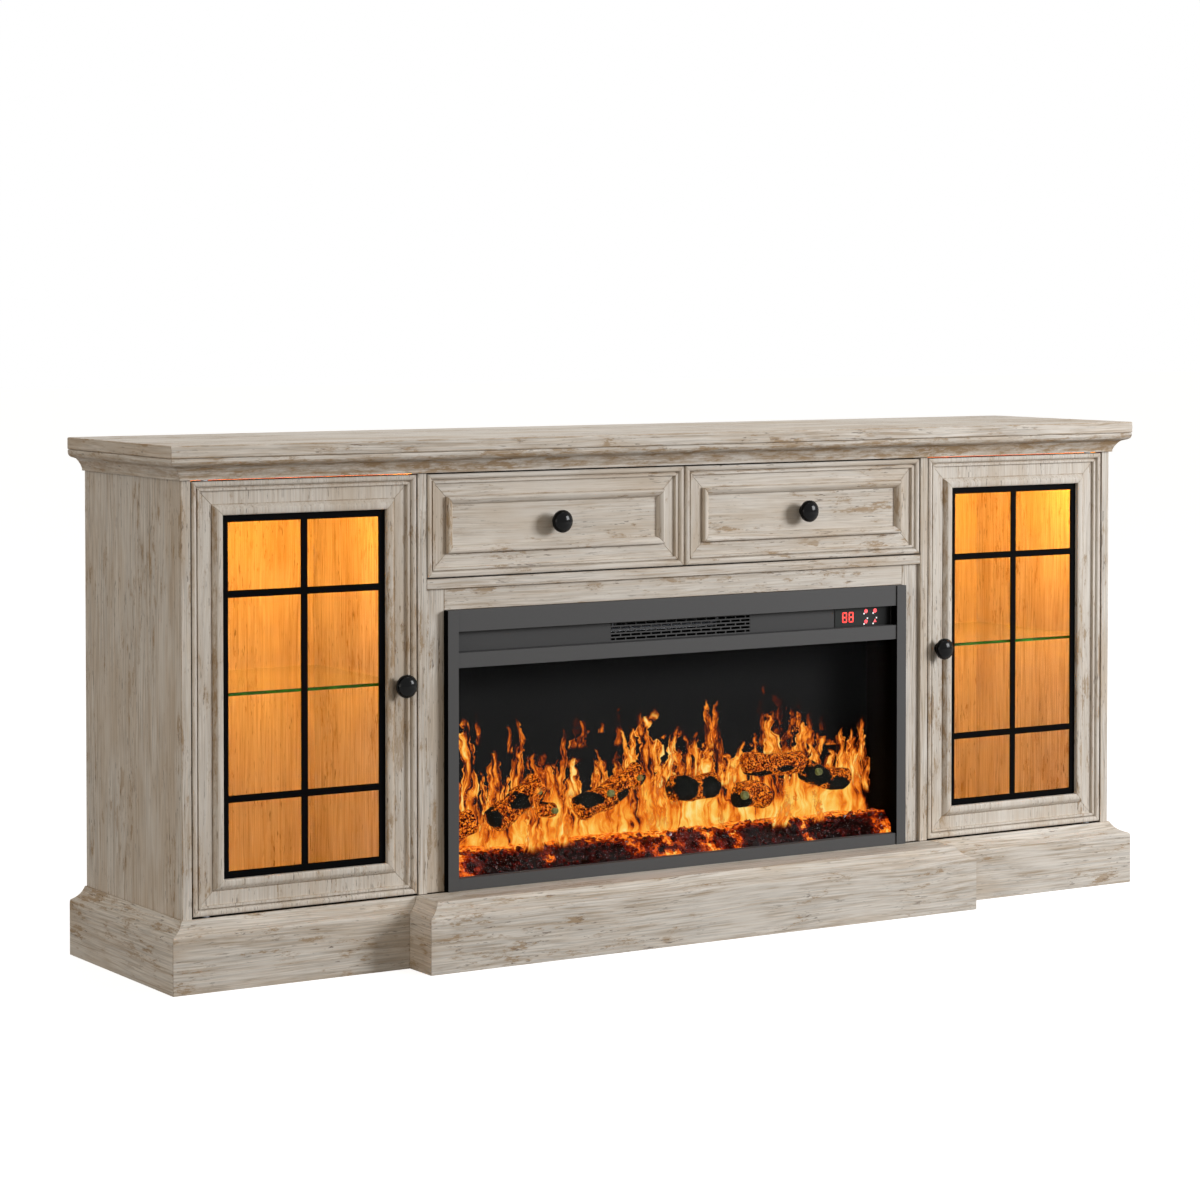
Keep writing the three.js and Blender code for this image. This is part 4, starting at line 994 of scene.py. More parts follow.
def add_frame_members(bm, profile, low, high):
    """Four mitred members round a rectangle, level and upright in turn. Profile points are (inset, depth)
    from the rectangle's edge and from its front."""
    width, height = high.x - low.x, high.z - low.z
    middle = ((low.x + high.x) / 2, (low.z + high.z) / 2)
    flat_profile = [(-inset, depth) for inset, depth in profile]
    upright = Matrix(((1, 0, 0), (0, 0, 1), (0, 1, 0))).to_4x4()
    for index in range(4):
        length, across = (width, height) if index % 2 == 0 else (height, width)
        verts = add_run(bm, flat_profile, length, 1, 1)
        bmesh.ops.translate(bm, vec=(-length / 2, 0, 0), verts=verts)
        bmesh.ops.transform(bm, matrix=upright, verts=verts)
        bmesh.ops.translate(bm, vec=(0, 0, -across / 2), verts=verts)
        turn_verts(bm, verts, index * math.pi / 2, "Y")
        bmesh.ops.translate(bm, vec=(middle[0], low.y, middle[1]), verts=verts)
        faces = faces_of(verts)
        for face in faces:
            face.material_index = index % 2
        mark(bm, "board", board_number("member") + index, faces)
    face_outwards(bm)


def shade_sides(bm, low, high):
    """Gives the outer sides of a front the dark paint, as painted shade in the gaps round it, but not
    those at the cabinet's middle.
    """
    for face in bm.faces:
        middle = face.calc_center_median()
        for axis in (0, 2):
            reach = min(middle[axis] - low[axis], high[axis] - middle[axis])
            if abs(face.normal[axis]) > FACING and reach < FINE_ROUND and abs(middle.x) > PALE_MIDDLE:
                face.material_index = SIDE_SLOT


def wear_and_shade_border(bm, low, high):
    """Marks the outer bead of a door's uprights as worn and shaded, and their inner slope with painted
    shade; the material draws both in the worn brown.
    """
    for face in bm.faces:
        middle = face.calc_center_median()
        inset = min(middle.x - low.x, high.x - middle.x)
        upright = inset < min(middle.z - low.z, high.z - middle.z)
        if upright and inset < BEAD_WIDTH / 2:
            mark(bm, "wear_and_shade", BEAD_WEAR_AND_SHADE, [face])
        elif upright and INNER_INSET < inset < DOOR_SHOULDER[0]:
            mark(bm, "wear_and_shade", SLOPE_SHADE, [face])


def make_door(word):
    node = f"{word}_door_frame"
    low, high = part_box(node)
    inner = (DOOR_FRAME_WIDTH, DOOR_INNER_DEPTH)
    crest = (DOOR_CREST_INSET, 0)
    rebate = DOOR_FRAME_WIDTH - DOOR_REBATE
    foot = (INNER_INSET + GROOVE, FLAT_DEPTH - GROOVE)
    profile = border_profile() + groove_to(foot) + curve(foot, DOOR_SHOULDER, DOOR_SLOPE_LEAN)
    profile += curve(DOOR_SHOULDER, crest, DOOR_CREST_LEAN) + curve(crest, inner, INSET_FIRST)
    profile += [(DOOR_FRAME_WIDTH, DOOR_GLASS_DEPTH), (rebate, DOOR_GLASS_DEPTH)]
    profile += [(rebate, FRONT_THICKNESS)]
    bm = empty_mesh()
    add_frame_members(bm, profile, low, high)
    round_edges(bm, FINE_ROUND)
    wear_and_shade_border(bm, low, high)
    shade_sides(bm, low, high)
    smooth(finished_piece(node, bm, [RAIL_WOOD, DOOR_WOOD, SHADE_PAINT]))
    make_light_line(word, low, high)

    grille = f"{word}_door_grille"
    smooth(finished_piece(grille, eased_copy(grille, EDGE_ROUND / 2), [BLACK]))
    repaint(f"{word}_door_glass", DOOR_GLASS)


def make_light_line(word, low, high):
    """The cabinet's light that shows in the gap above a door, painted as a thin glowing strip behind it.
    """
    bm = bmesh.new()
    front = low.y + FRONT_THICKNESS + LINE_CLEARANCE
    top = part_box("crown_front")[0].z
    add_box(bm, (low.x, front, high.z + LINE_CLEARANCE), (high.x, front + LINE_THICKNESS, top))
    new_piece(f"light_line_{word}", bm, [LEAK_GLOW], "cabinet", "light_lens")


def make_drawer(word):
    node = f"{word}_drawer_front"
    low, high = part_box(node)
    panel_edge = (DRAWER_PANEL_INSET, DRAWER_PANEL_DEPTH)
    crest = (DRAWER_CREST_INSET, 0)
    foot = (INNER_INSET + GROOVE, INNER_DEPTH)
    profile = border_profile() + groove_to(foot)
    profile += curve(foot, crest, DEPTH_FIRST) + curve(crest, panel_edge, DRAWER_SLOPE_LEAN)
    profile += [(DRAWER_PANEL_INSET, FRONT_THICKNESS)]
    bm = empty_mesh()
    add_frame_members(bm, profile, low, high)
    round_edges(bm, FINE_ROUND)
    faces = faces_of(add_box(
        bm, (low.x + DRAWER_PANEL_INSET, low.y + DRAWER_PANEL_DEPTH, low.z + DRAWER_PANEL_INSET),
        (high.x - DRAWER_PANEL_INSET, low.y + FRONT_THICKNESS, high.z - DRAWER_PANEL_INSET),
    ))
    mark(bm, "board", board_number(node), faces)
    for face in faces:
        face.material_index = 0
    shade_sides(bm, low, high)
    smooth(finished_piece(node, bm, [FRONT_WOOD, DOOR_WOOD, SHADE_PAINT]))
    plain_board(f"{word}_drawer_box", BACKING)


# Knobs

KNOB_RADIUS = 0.0173
KNOB_LENGTH = 0.025
KNOB_FLANGE = (0.0094, 0.002)
KNOB_STEM = (0.006, 0.009)
KNOB_RIM_START = 0.0135
KNOB_RIM_THICKNESS = 0.0032
KNOB_GROOVE = 0.0012
KNOB_RIM_STEPS = 2
KNOB_NECK_LEAN = (0.8, 0.1)
KNOB_CUP_LEAN = (0.1, 0.75)
KNOB_RIM_LEAN = (1, 0.5)
KNOB_DOME_LEAN = (0.05, 0.9)


def make_knob(node):
    low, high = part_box(node)
    rim_end = KNOB_RIM_START + KNOB_RIM_THICKNESS
    groove = (KNOB_RADIUS - KNOB_GROOVE, rim_end)
    rim = (KNOB_RADIUS, KNOB_RIM_START)
    profile = [(0, 0), (KNOB_FLANGE[0], 0), KNOB_FLANGE]
    profile += curve(KNOB_FLANGE, KNOB_STEM, KNOB_NECK_LEAN) + curve(KNOB_STEM, rim, KNOB_CUP_LEAN)
    profile += curve(rim, (KNOB_RADIUS, rim_end), KNOB_RIM_LEAN, KNOB_RIM_STEPS)
    profile += [groove] + curve(groove, (0, KNOB_LENGTH), KNOB_DOME_LEAN)
    bm = bmesh.new()
    verts = [bm.verts.new((radius, -reach, 0)) for radius, reach in profile]
    edges = [bm.edges.new(pair) for pair in zip(verts, verts[1:])]
    bmesh.ops.spin(
        bm, geom=verts + edges, cent=(0, 0, 0), axis=(0, 1, 0), angle=2 * math.pi,
        steps=ROUND_STEPS, use_merge=True,
    )
    bmesh.ops.remove_doubles(bm, verts=bm.verts, dist=MERGE_REACH)
    face_outwards(bm)
    centre = ((low.x + high.x) / 2, high.y, (low.z + high.z) / 2)
    bmesh.ops.translate(bm, vec=centre, verts=bm.verts)
    soften(finished_piece(node, bm, [KNOB_GLOSS]))


# Glass shelves

def make_shelf(word):
    node = f"glass_shelf_{word}"
    bm = eased_copy(node, EDGE_ROUND / 2, segments=1)
    for face in bm.faces:
        face.material_index = 1 if face.normal.y < -FACING else 0
    finished_piece(node, bm, [SHELF_GLASS, SHELF_EDGE])


# Insert front

SEGMENT_LENGTH = 0.0074
SEGMENT_WIDTH = 0.0021
DIGIT_SPACING = 0.0129
DIGIT_LEFT_SHARE = 0.17
KEY_LEFT_SHARE = 0.555
KEY_SPACING = 0.0182
KEY_RISE = 0.0168
KEY_SIZE = 0.0072
KEY_SIDES = (8, 5, 3, 6)
DOT_SIZE = 0.0023
GLOW_PROUD = 0.0002
STILE_RISE = 0.001
SLOT_GROWTH = (0.0008, 0, 0.0004)
MARK_SHIFT = 0.7
SECOND_MARK_SHIFT = (0.25, 0.55)


def make_vent_grille():
    """The sheet over the blower, with its slots cut a little larger than the solid's."""
    low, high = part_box("vent_grille")
    bm = cad_copy("vent_grille")
    for axis in (0, 2):
        shifts = {}
        for face in bm.faces:
            middle = face.calc_center_median()
            inside = min(middle[axis] - low[axis], high[axis] - middle[axis]) > FINE_ROUND
            if inside and abs(face.normal[axis]) > FACING:
                shift = -math.copysign(SLOT_GROWTH[axis], face.normal[axis])
                shifts.update((vert, shift) for vert in face.verts)
        for vert, shift in shifts.items():
            vert.co[axis] += shift
    finished_piece("vent_grille", bm, [GRILLE_GREY])


def make_insert_front():
    bm = cad_copy("insert_frame")
    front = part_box("insert_frame")[0].y
    for vert in bm.verts:
        if vert.co.y < front + MERGE_REACH:
            vert.co.y -= STILE_RISE
    round_edges(bm, FINE_ROUND)
    # Faces that look left or right turn black, which paints shade on the frame's outer sides
    paint_ends(bm, FACING)
    smooth(finished_piece("insert_frame", bm, [FRAME_GREY, FRAME_SIDE_SHADE]))
    repaint("control_panel", STRIP_GREY)
    repaint("fire_glass", FIRE_GLASS)
    repaint("display", DISPLAY_DARK)


def make_display():
    low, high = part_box("display")
    middle = (low.z + high.z) / 2
    width = high.x - low.x
    near, far = low.y - GLOW_PROUD, low.y
    half, thin = SEGMENT_LENGTH / 2, SEGMENT_WIDTH / 2
    digits = bmesh.new()
    for number in range(2):
        x = low.x + width * DIGIT_LEFT_SHARE + number * DIGIT_SPACING
        for row in (-1, 0, 1):
            z = middle + row * SEGMENT_LENGTH
            add_box(digits, (x - half, near, z - thin), (x + half, far, z + thin))
        for row in (-1, 1):
            z = middle + row * half
            for side in (-1, 1):
                across = x + side * half
                add_box(digits, (across - thin, near, z - half), (across + thin, far, z + half))

    keys = bmesh.new()
    marks = bmesh.new()
    for column in range(2):
        for row in (-1, 1):
            x = low.x + width * KEY_LEFT_SHARE + column * KEY_SPACING
            z = middle + row * KEY_RISE / 2
            made = bmesh.ops.create_cone(
                keys, cap_ends=True, segments=KEY_SIDES[column - row], radius1=KEY_SIZE / 2,
                radius2=KEY_SIZE / 2, depth=GLOW_PROUD,
            )["verts"]
            turn_verts(keys, made, math.pi / 2, "X")
            bmesh.ops.translate(keys, vec=(x, (near + far) / 2, z), verts=made)
            corners = [(x - KEY_SIZE * MARK_SHIFT, z - KEY_SIZE * MARK_SHIFT)]
            if row < 0:
                corners.append((x + KEY_SIZE * SECOND_MARK_SHIFT[0], z + KEY_SIZE * SECOND_MARK_SHIFT[1]))
            for left, foot in corners:
                add_box(marks, (left, near, foot), (left + DOT_SIZE, far, foot + DOT_SIZE))
    for name, bm, material in (
        ("display_digits", digits, DIGIT_GLOW), ("display_keys", keys, KEY_GLOW),
        ("display_key_marks", marks, MARK_WHITE),
    ):
        new_piece(name, bm, [material], "cabinet", "display_lens")


# Fire

# Tongues on the screen in millimetres: foot x and z, tip x and z, width, and how hot it looks
TONGUES = (
    (-392, 225, -412, 352, 46, 0.75), (-376, 250, -398, 372, 40, 0.35), (232, 262, 238, 356, 52, 0.08),
    (-334, 213, -349, 358, 33, 0.8), (-321, 313, -324, 361, 9, 0.4), (-289, 219, -295, 302, 30, 0.7),
    (-254, 216, -250, 348, 28, 0.7), (-194, 233, -229, 283, 34, 0.45), (-193, 241, -210, 292, 26, 0.4),
    (-178, 215, -169, 327, 26, 0.6), (-139, 295, -143, 340, 32, 0.6), (-161, 209, -135, 278, 43, 0.95),
    (-86, 237, -112, 287, 10, 0.8), (-110, 234, -110, 259, 13, 0.6), (-100, 312, -95, 330, 10, 0.45),
    (-65, 295, -67, 350, 20, 0.25), (-23, 305, -32, 349, 13, 0.5), (-48, 252, -65, 317, 18, 0.75),
    (-46, 252, -36, 318, 18, 0.8), (-2, 188, -10, 346, 52, 0.95), (24, 196, 30, 318, 46, 1.0),
    (30, 211, 41, 306, 27, 0.9), (48, 222, 49, 277, 21, 0.5), (-70, 249, -73, 281, 17, 0.5),
    (-264, 295, -270, 334, 10, 0.45),
    (66, 238, 60, 300, 18, 0.6), (75, 235, 85, 306, 33, 0.75), (105, 281, 95, 353, 15, 0.5),
    (108, 283, 119, 351, 15, 0.45), (124, 229, 112, 331, 21, 0.65), (99, 231, 100, 286, 36, 0.8),
    (153, 219, 164, 283, 34, 0.8), (138, 215, 139, 263, 36, 0.9), (192, 259, 195, 293, 12, 0.6),
    (230, 259, 220, 326, 34, 0.75), (255, 257, 265, 314, 25, 0.7), (283, 250, 275, 325, 34, 0.7),
    (301, 270, 301, 321, 19, 0.35), (327, 288, 327, 315, 14, 0.5), (311, 233, 320, 285, 25, 0.85),
    (311, 233, 301, 272, 16, 0.6), (365, 215, 365, 292, 25, 0.85), (388, 200, 396, 298, 40, 0.95),
    (398, 215, 410, 307, 19, 0.65), (413, 190, 413, 271, 22, 0.6), (207, 281, 205, 372, 15, 0.22),
    (273, 302, 272, 348, 22, 0.22), (344, 261, 336, 272, 19, 0.35),
)
FRONT_TONGUES = (
    (-259, 158, -250, 251, 37, 0.9), (-203, 160, -197, 240, 28, 1.0), (-341, 160, -344, 215, 17, 0.8),
    (-64, 190, -60, 251, 14, 0.6), (-30, 175, -30, 268, 42, 0.85), (92, 158, 88, 230, 12, 0.6),
    (207, 152, 222, 210, 40, 0.9), (282, 152, 273, 204, 21, 0.7),
)
TONGUE_ROWS = 12
TONGUE_STEP = 0.0001
TONGUE_SWAY = 0.18
TONGUE_SPREAD = 1.6
TONGUE_ROOT = 0.30
TONGUE_WAVES = 2.2
TONGUE_CURL = 1.4
TONGUE_SEED_STEP = 1.7
FRONT_TONGUE_DEPTH = 0.021

# Small tongues: how many, and the ranges of foot x and z, lean, rise, width and heat
SMALL_TONGUES = 44
SMALL_TONGUE_SEED = 5
SMALL_FOOT_X, SMALL_FOOT_Z = (-385, 405), (168, 200)
SMALL_LEAN, SMALL_RISE = (-14, 14), (35, 95)
SMALL_WIDTH, SMALL_HEAT = (14, 34), (0.55, 0.95)

# The mass of fire, and the dark screen with its painted haze light and painted shade
SHEET_LOW, SHEET_HIGH = 0.118, 0.290
SHEET_LEFT, SHEET_RIGHT = -0.424, 0.424
SHEET_ROOM = 0.0090
SCREEN_TOP = (0.365, 0.425)
SCREEN_SHADES = (0.0100, 0.0025)
SCREEN_HAZE = 0.0006
SCREEN_HAZE_SCALE = 5.0
SCREEN_END_SHADE = 0.1
SCREEN_END = (0.295, 0.385)
SCREEN_BASE = (0.002, 0.002, 0.002, 1)
MASS_SEED = 2.0
MASS_LUMPS = (24.0, 26.0)
LUMP_SEED = 3.0
MASS_TOP_SCALE = 34.0
MASS_TOP_SEED = 7.0
MASS_RISE = (-0.36, -0.10, 0.196, 0.222)
MASS_TOP = (-0.030, 0.052)
MASS_ENDS = (0.424, 0.385)
MASS_DEPTH = (0.0, 0.075)
MASS_DEPTH_HEAT = 0.42
MASS_THREAD_HEAT = (0.62, -0.16)
MASS_LUMP_HEAT = (1.3, -0.62)
MASS_WARM_DEPTH = (0.0, 0.35)
MASS_ALPHA = (0.02, 0.30)
MASS_CLEAR_DEPTH = (0.0, 0.3)

# Threads of fire: scales across and up, and what their noises turn into
THREAD_SEED = 3.7
SLOW_SCALE = (30.0, 24.0)
THREAD_SCALE = (115.0, 17.0)
WISP_SCALE = (330.0, 34.0)
DRIFT = (-0.011, 0.011)
THREAD_HEAT = (0.30, 0.68, 0.0, 0.85)
WISP_HEAT = (-0.13, 0.15)
SLOW_HEAT = (-0.20, 0.26)

# Fire on a tongue: how its outline bends and tapers, and where it glows and fades
FLAME_SEED = 5.3
WARP_SCALES = (1.2, 3.2)
WARP_SCALE = 1.7
WARP = (-0.19, 0.19)
WARP_RISE = (0.3, 1.3)
TAPER_POWER = 0.62
TAPER_WIDTHS = (0.05, 0.78)
RIM_PLACE = 0.20
RIM_GLOW = (0.0, 0.15, 0.34, 0.0)
EDGE_HEAT = 0.42
FLAME_THREADS = (0.85, -0.12)
TIP_COOLING = 0.34
HEAT_RANGE = (0.35, 1.20)
FOOT_FADE, TIP_FADE, EDGE_FADE = (0.0, 0.30), (1.0, 0.86), (0.0, 0.26)
FADED_HEAT, FADED_ALPHA = (0.0, 0.6), (0.0, 0.8)
FLAME_ALPHA = (0.03, 0.62)

# Logs in millimetres: one end's x and z, the other's, the radius and the bend
LOGS = (
    (-402, 180, -345, 197, 19, 2), (-318, 188, -228, 247, 20, 4), (-234, 204, -200, 199, 13, 1),
    (-165, 197, -43, 250, 20, 7), (10, 216, 102, 218, 20, 3), (135, 196, 200, 186, 20, -5),
    (152, 248, 268, 240, 18, 5), (266, 232, 358, 206, 18, 8),
)
# Cut twigs on the logs in millimetres: x, z and radius
TWIGS = ((-243, 234, 5), (-214, 202, 5), (-112, 221, 6), (-58, 241, 5), (141, 198, 7), (286, 225, 6))
# Charred spots on the logs in millimetres: x, z and half sizes along both
CHAR_SPOTS = (
    (-270, 219, 20, 13), (-319, 196, 15, 16), (-149, 213, 27, 13), (-86, 216, 12, 10), (31, 217, 25, 21),
    (80, 213, 18, 17), (139, 182, 20, 18), (176, 226, 26, 8), (226, 234, 18, 6), (289, 219, 29, 20),
    (331, 199, 22, 15), (-222, 222, 10, 14), (-46, 236, 12, 10),
)
CHAR_ROUGH = 1.5
CHAR_EDGE = (0.0, 0.08)
LOG_RINGS = 30
LOG_SIDES = 24
LOG_END = 0.40
LOG_TIP, LOG_SWELL = 0.10, 0.88
KNOT_SCALE, KNOT_SIZE = 38, 0.22
RIDGE_SCALE, RIDGE_SIZE = 160, 0.07
WORM_SCALE = 290.0
WORM_TWIST = 1.4
WORM_HEAT = (0.41, 0.62)
SOOT = ((60.0, 60.0, 90.0), 3.0, 0.6)
BARK_BUMP, BARK_BUMP_DEPTH = 0.6, 0.001
BARK_SHINE, BARK_ROUGHNESS = 0.1, 0.85
TWIG_LENGTH = 0.006
TWIG_SIDES = 16
TWIG_TAPER = 1.1
TWIG_TILT = math.radians(80)
TWIG_SINK = 0.3
TWIG_RINGS = 260.0
# Twig ends glow a little as painted light from the fire
TWIG_GLOW, TWIG_ROUGHNESS = 0.5, 0.7

# Ember bed: where the lumps glow, in millimetres along x, with their half widths
GLOW_LUMPS = ((-385, 26), (-72, 14), (-12, 34), (66, 22), (118, 12), (408, 22), (-230, 10), (255, 9))
BED_COLUMNS = 150
BED_ROWS = 26
BED_ROW_SPACING = 1.3
BED_SLOPE_DEPTH = 0.032
BED_SLOPE = 0.033
BED_WAVE, BED_WAVE_SCALE, BED_WAVE_LEVEL = 0.0085, (16, 30), 0.3
BED_ROUGH, BED_ROUGH_SCALE = 0.0022, 120
BED_FLOW, BED_FLOW_SCALE = (0.55, 1.5), (55, 90)
HEAT_SLICE, WAVE_SLICE, ROUGH_SLICE = 9.0, 2.0, 5.0
BED_GLOW_START, BED_GLOW_DEPTH, BED_BACK_HEAT = 0.8, 0.012, 0.8
BED_SEED = 0.35
NUGGETS = 620
NUGGET_SEED = 11
NUGGET_SIZES = (0.0030, 0.0068)
NUGGET_REACH = 1.25
NUGGET_TOP, NUGGET_SINK = 0.4, 0.2
NUGGET_CHIPS = (0.7, 1.15)
NUGGET_STRETCH = ((0.8, 1.3), (0.6, 0.9), (0.6, 1.1))
NUGGET_BACK_START, NUGGET_BACK_HEAT = 0.9, 1.6
NUGGET_HEAT = (0.3, 1.1)
VEIN_SCALE, VEIN_TWIST, VEIN_SHARE = 130.0, 1.0, 1.4
SEED_SHARE = (0.6, -0.7)
VEIN_HEAT = (0.30, 0.60, 0.25, 1.0)
# White specks that glow on the ember lumps as painted glints
SPARKLE_SCALE, SPARKLE_RANGE, SPARKLE_SHARE = 520.0, (0.735, 0.76), 0.8
CRYSTAL_ROUGHNESS, CRYSTAL_SHINE = 0.14, 0.15


def sheet_place(s, x, z, scale, seed):
    """A place on an upright sheet of fire, with its own scales across and up."""
    return s.joined(s.times(x, scale[0]), seed, s.times(z, scale[1]))


def filament_group():
    """Hot threads in a fire that rise and sway: bright lines about five millimetres apart."""
    s, given, put = new_group("filaments", {"Place": (0, 0, 0), "Seed": 0.0}, ("Value",))
    x, _, z = s.parts(given["Place"])
    seed = s.times(given["Seed"], THREAD_SEED)
    slow = s.noise(sheet_place(s, x, z, SLOW_SCALE, seed), detail=2.0)
    x = s.plus(x, s.spread(slow, *DRIFT))
    threads = s.noise(sheet_place(s, x, z, THREAD_SCALE, seed), detail=2.0, distortion=0.15)
    wisps = s.noise(sheet_place(s, x, z, WISP_SCALE, seed), detail=2.0)
    value = s.plus(s.span(threads, *THREAD_HEAT), s.spread(wisps, *WISP_HEAT))
    s.fill(put, {"Value": s.plus(value, s.spread(slow, *SLOW_HEAT))})
    return s.tree


def flame_group(filaments):
    """Fire seen on a tongue: Across and Along run from 0 to 1 over its width and length."""
    s, given, put = new_group(
        "flame",
        {"Across": 0.5, "Along": 0.0, "Place": (0, 0, 0), "Seed": 0.0, "Heat": 1.0},
        ("Color", "Alpha"),
    )
    across, along = given["Across"], given["Along"]
    seed = s.times(given["Seed"], FLAME_SEED)
    warp_place = s.joined(s.times(across, WARP_SCALES[0]), s.times(along, WARP_SCALES[1]), seed)
    warp = s.spread(s.noise(warp_place, scale=WARP_SCALE), *WARP)
    warp = s.times(warp, s.span(along, 0.0, 1.0, *WARP_RISE))
    off_centre = s.maths("ABSOLUTE", s.times_plus(s.plus(across, warp), 2.0, -1.0))
    taper = s.maths("POWER", s.maths("SUBTRACT", 1.0, along, clamp=True), TAPER_POWER)
    edge = s.minus(1.0, s.maths("DIVIDE", off_centre, s.span(taper, 0.0, 1.0, *TAPER_WIDTHS)))

    threads = s.use(filaments, {"Place": given["Place"], "Seed": given["Seed"]})["Value"]
    rim = s.span(s.maths("ABSOLUTE", s.minus(edge, RIM_PLACE)), *RIM_GLOW)
    heat = s.plus(s.times(edge, EDGE_HEAT), s.times_plus(threads, *FLAME_THREADS))
    heat = s.minus(s.plus(heat, rim), s.times(along, TIP_COOLING))
    heat = s.times(heat, s.span(given["Heat"], 0.0, 1.0, *HEAT_RANGE))
    fade = s.times(s.span(along, *FOOT_FADE, smooth=True), s.span(along, *TIP_FADE))
    fade = s.times(fade, s.span(edge, *EDGE_FADE, smooth=True))
    heat = s.times(heat, s.span(fade, *FADED_HEAT))
    s.fill(put, {
        "Color": s.ramp(heat, FLAME_RAMP),
        "Alpha": s.times(s.span(heat, *FLAME_ALPHA, smooth=True), s.span(fade, *FADED_ALPHA)),
    })
    return s.tree


def glow_only(s, shader, colour, alpha):
    """Sets a shader to glow with a colour and to reflect nothing."""
    s.fill(shader, {
        "Base Color": NO_COLOUR, "Specular IOR Level": 0.0, "Roughness": 1.0, "Emission Strength": 1.0,
        "Emission Color": colour, "Alpha": alpha,
    })


def tongue_material(flame):
    material, s, shader, _ = new_material("flame_tongues")
    across, along, _ = s.parts(s.add("ShaderNodeTexCoord").outputs["UV"])
    fire = s.use(flame, {
        "Across": across, "Along": along, "Place": s.object_place(),
        "Seed": s.attribute("seed"), "Heat": s.attribute("hotness"),
    })
    glow_only(s, shader, fire["Color"], fire["Alpha"])
    return material


def sheet_material(filaments):
    """The bright mass of fire behind and under the logs."""
    material, s, shader, _ = new_material("flame_mass")
    spot = s.object_place()
    x, _, z = s.parts(spot)
    threads = s.use(filaments, {"Place": spot, "Seed": MASS_SEED})["Value"]
    lumps = s.noise(sheet_place(s, x, z, MASS_LUMPS, LUMP_SEED))
    ragged = s.noise(s.joined(s.times(x, MASS_TOP_SCALE), MASS_TOP_SEED, 0.0), detail=4.0, roughness=0.6)
    top = s.plus(s.span(x, *MASS_RISE), s.spread(ragged, *MASS_TOP))
    ends = s.span(s.maths("ABSOLUTE", x), *MASS_ENDS)
    depth = s.times(s.span(s.minus(top, z), *MASS_DEPTH), ends)
    heat = s.plus(s.times(depth, MASS_DEPTH_HEAT), s.times_plus(threads, *MASS_THREAD_HEAT))
    heat = s.plus(heat, s.times_plus(lumps, *MASS_LUMP_HEAT))
    heat = s.times(heat, s.span(depth, *MASS_WARM_DEPTH))
    alpha = s.times(s.span(heat, *MASS_ALPHA, smooth=True), s.span(depth, *MASS_CLEAR_DEPTH))
    glow_only(s, shader, s.ramp(heat, MASS_RAMP), alpha)
    return material


def screen_material():
    """The dark screen: a faint grey glow painted as the haze of light in the glass, weaker at its top
    and fading out near its right end.
    """
    material, s, shader, _ = new_material("dark_screen")
    place = s.object_place()
    x, _, z = s.parts(place)
    haze = s.noise(place, scale=SCREEN_HAZE_SCALE, detail=2.0)
    # A faint glow painted as haze light, weaker at the top and fading near the right end
    haze_glow = s.span(z, *SCREEN_TOP, *SCREEN_SHADES, smooth=True)
    haze_glow = s.plus(haze_glow, s.spread(haze, -SCREEN_HAZE, SCREEN_HAZE))
    haze_glow = s.times(haze_glow, s.span(x, *SCREEN_END, 1.0, SCREEN_END_SHADE, smooth=True))
    s.fill(shader, {
        "Emission Color": s.grey(haze_glow), "Emission Strength": 1.0, "Base Color": SCREEN_BASE,
        "Specular IOR Level": 0.0,
    })
    return material


def ember_bark():
    """Charred logs with glowing worm-like cracks."""
    material, s, shader, _ = new_material("ember_bark")
    place = s.object_place()
    worms = s.noise(place, scale=WORM_SCALE, detail=1.0, roughness=0.4, distortion=WORM_TWIST)
    soot = s.stretched_noise(place, *SOOT)
    charring = s.times_plus(s.minus(soot, 0.5), CHAR_ROUGH, s.attribute("charring"))
    glow = s.ramp(s.span(worms, *WORM_HEAT), BARK_RAMP)
    s.fill(shader, {
        "Emission Color": s.overlaid(glow, s.span(charring, *CHAR_EDGE, smooth=True), SOOT_BLACK),
        "Emission Strength": 1.0, "Base Color": screen_colour(BARK_BROWN),
        "Specular IOR Level": BARK_SHINE, "Roughness": BARK_ROUGHNESS,
        "Normal": s.bump(BARK_BUMP, BARK_BUMP_DEPTH, worms),
    })
    return material


def twig_material():
    material, s, shader, _ = new_material("cut_twig")
    rings = s.noise(s.object_place(), scale=TWIG_RINGS, detail=2.0)
    colour = s.between(s.spread(rings), *TWIG_GREENS)
    # The cut ends glow a little as painted light from the fire
    s.fill(shader, {
        "Base Color": colour, "Emission Color": colour, "Emission Strength": TWIG_GLOW,
        "Roughness": TWIG_ROUGHNESS,
    })
    return material


def crystal_material():
    """Glassy ember lumps: dark red to black, glowing where heat is written on them, with white specks
    that glow as painted glints.
    """
    material, s, shader, _ = new_material("ember_crystals")
    place = s.object_place()
    veins = s.noise(place, scale=VEIN_SCALE, detail=4.0, distortion=VEIN_TWIST)
    share = s.times_plus(veins, VEIN_SHARE, s.times_plus(s.attribute("seed"), *SEED_SHARE))
    warmth = s.times(s.attribute("hotness"), s.span(veins, *VEIN_HEAT))
    # White specks glow as painted glints
    sparkle = s.span(s.noise(place, scale=SPARKLE_SCALE, detail=1.0), *SPARKLE_RANGE)
    glow = s.overlaid(s.ramp(warmth, EMBER_GLOW_RAMP), s.times(sparkle, SPARKLE_SHARE), SPARKLE)
    s.fill(shader, {
        "Base Color": s.ramp(share, EMBER_GLASS_RAMP), "Emission Color": glow, "Emission Strength": 1.0,
        "Roughness": CRYSTAL_ROUGHNESS, "Specular IOR Level": CRYSTAL_SHINE,
    })
    return material


def mark_fire(bm, seed, heat, faces):
    mark(bm, "seed", seed, faces)
    mark(bm, "hotness", heat, faces)


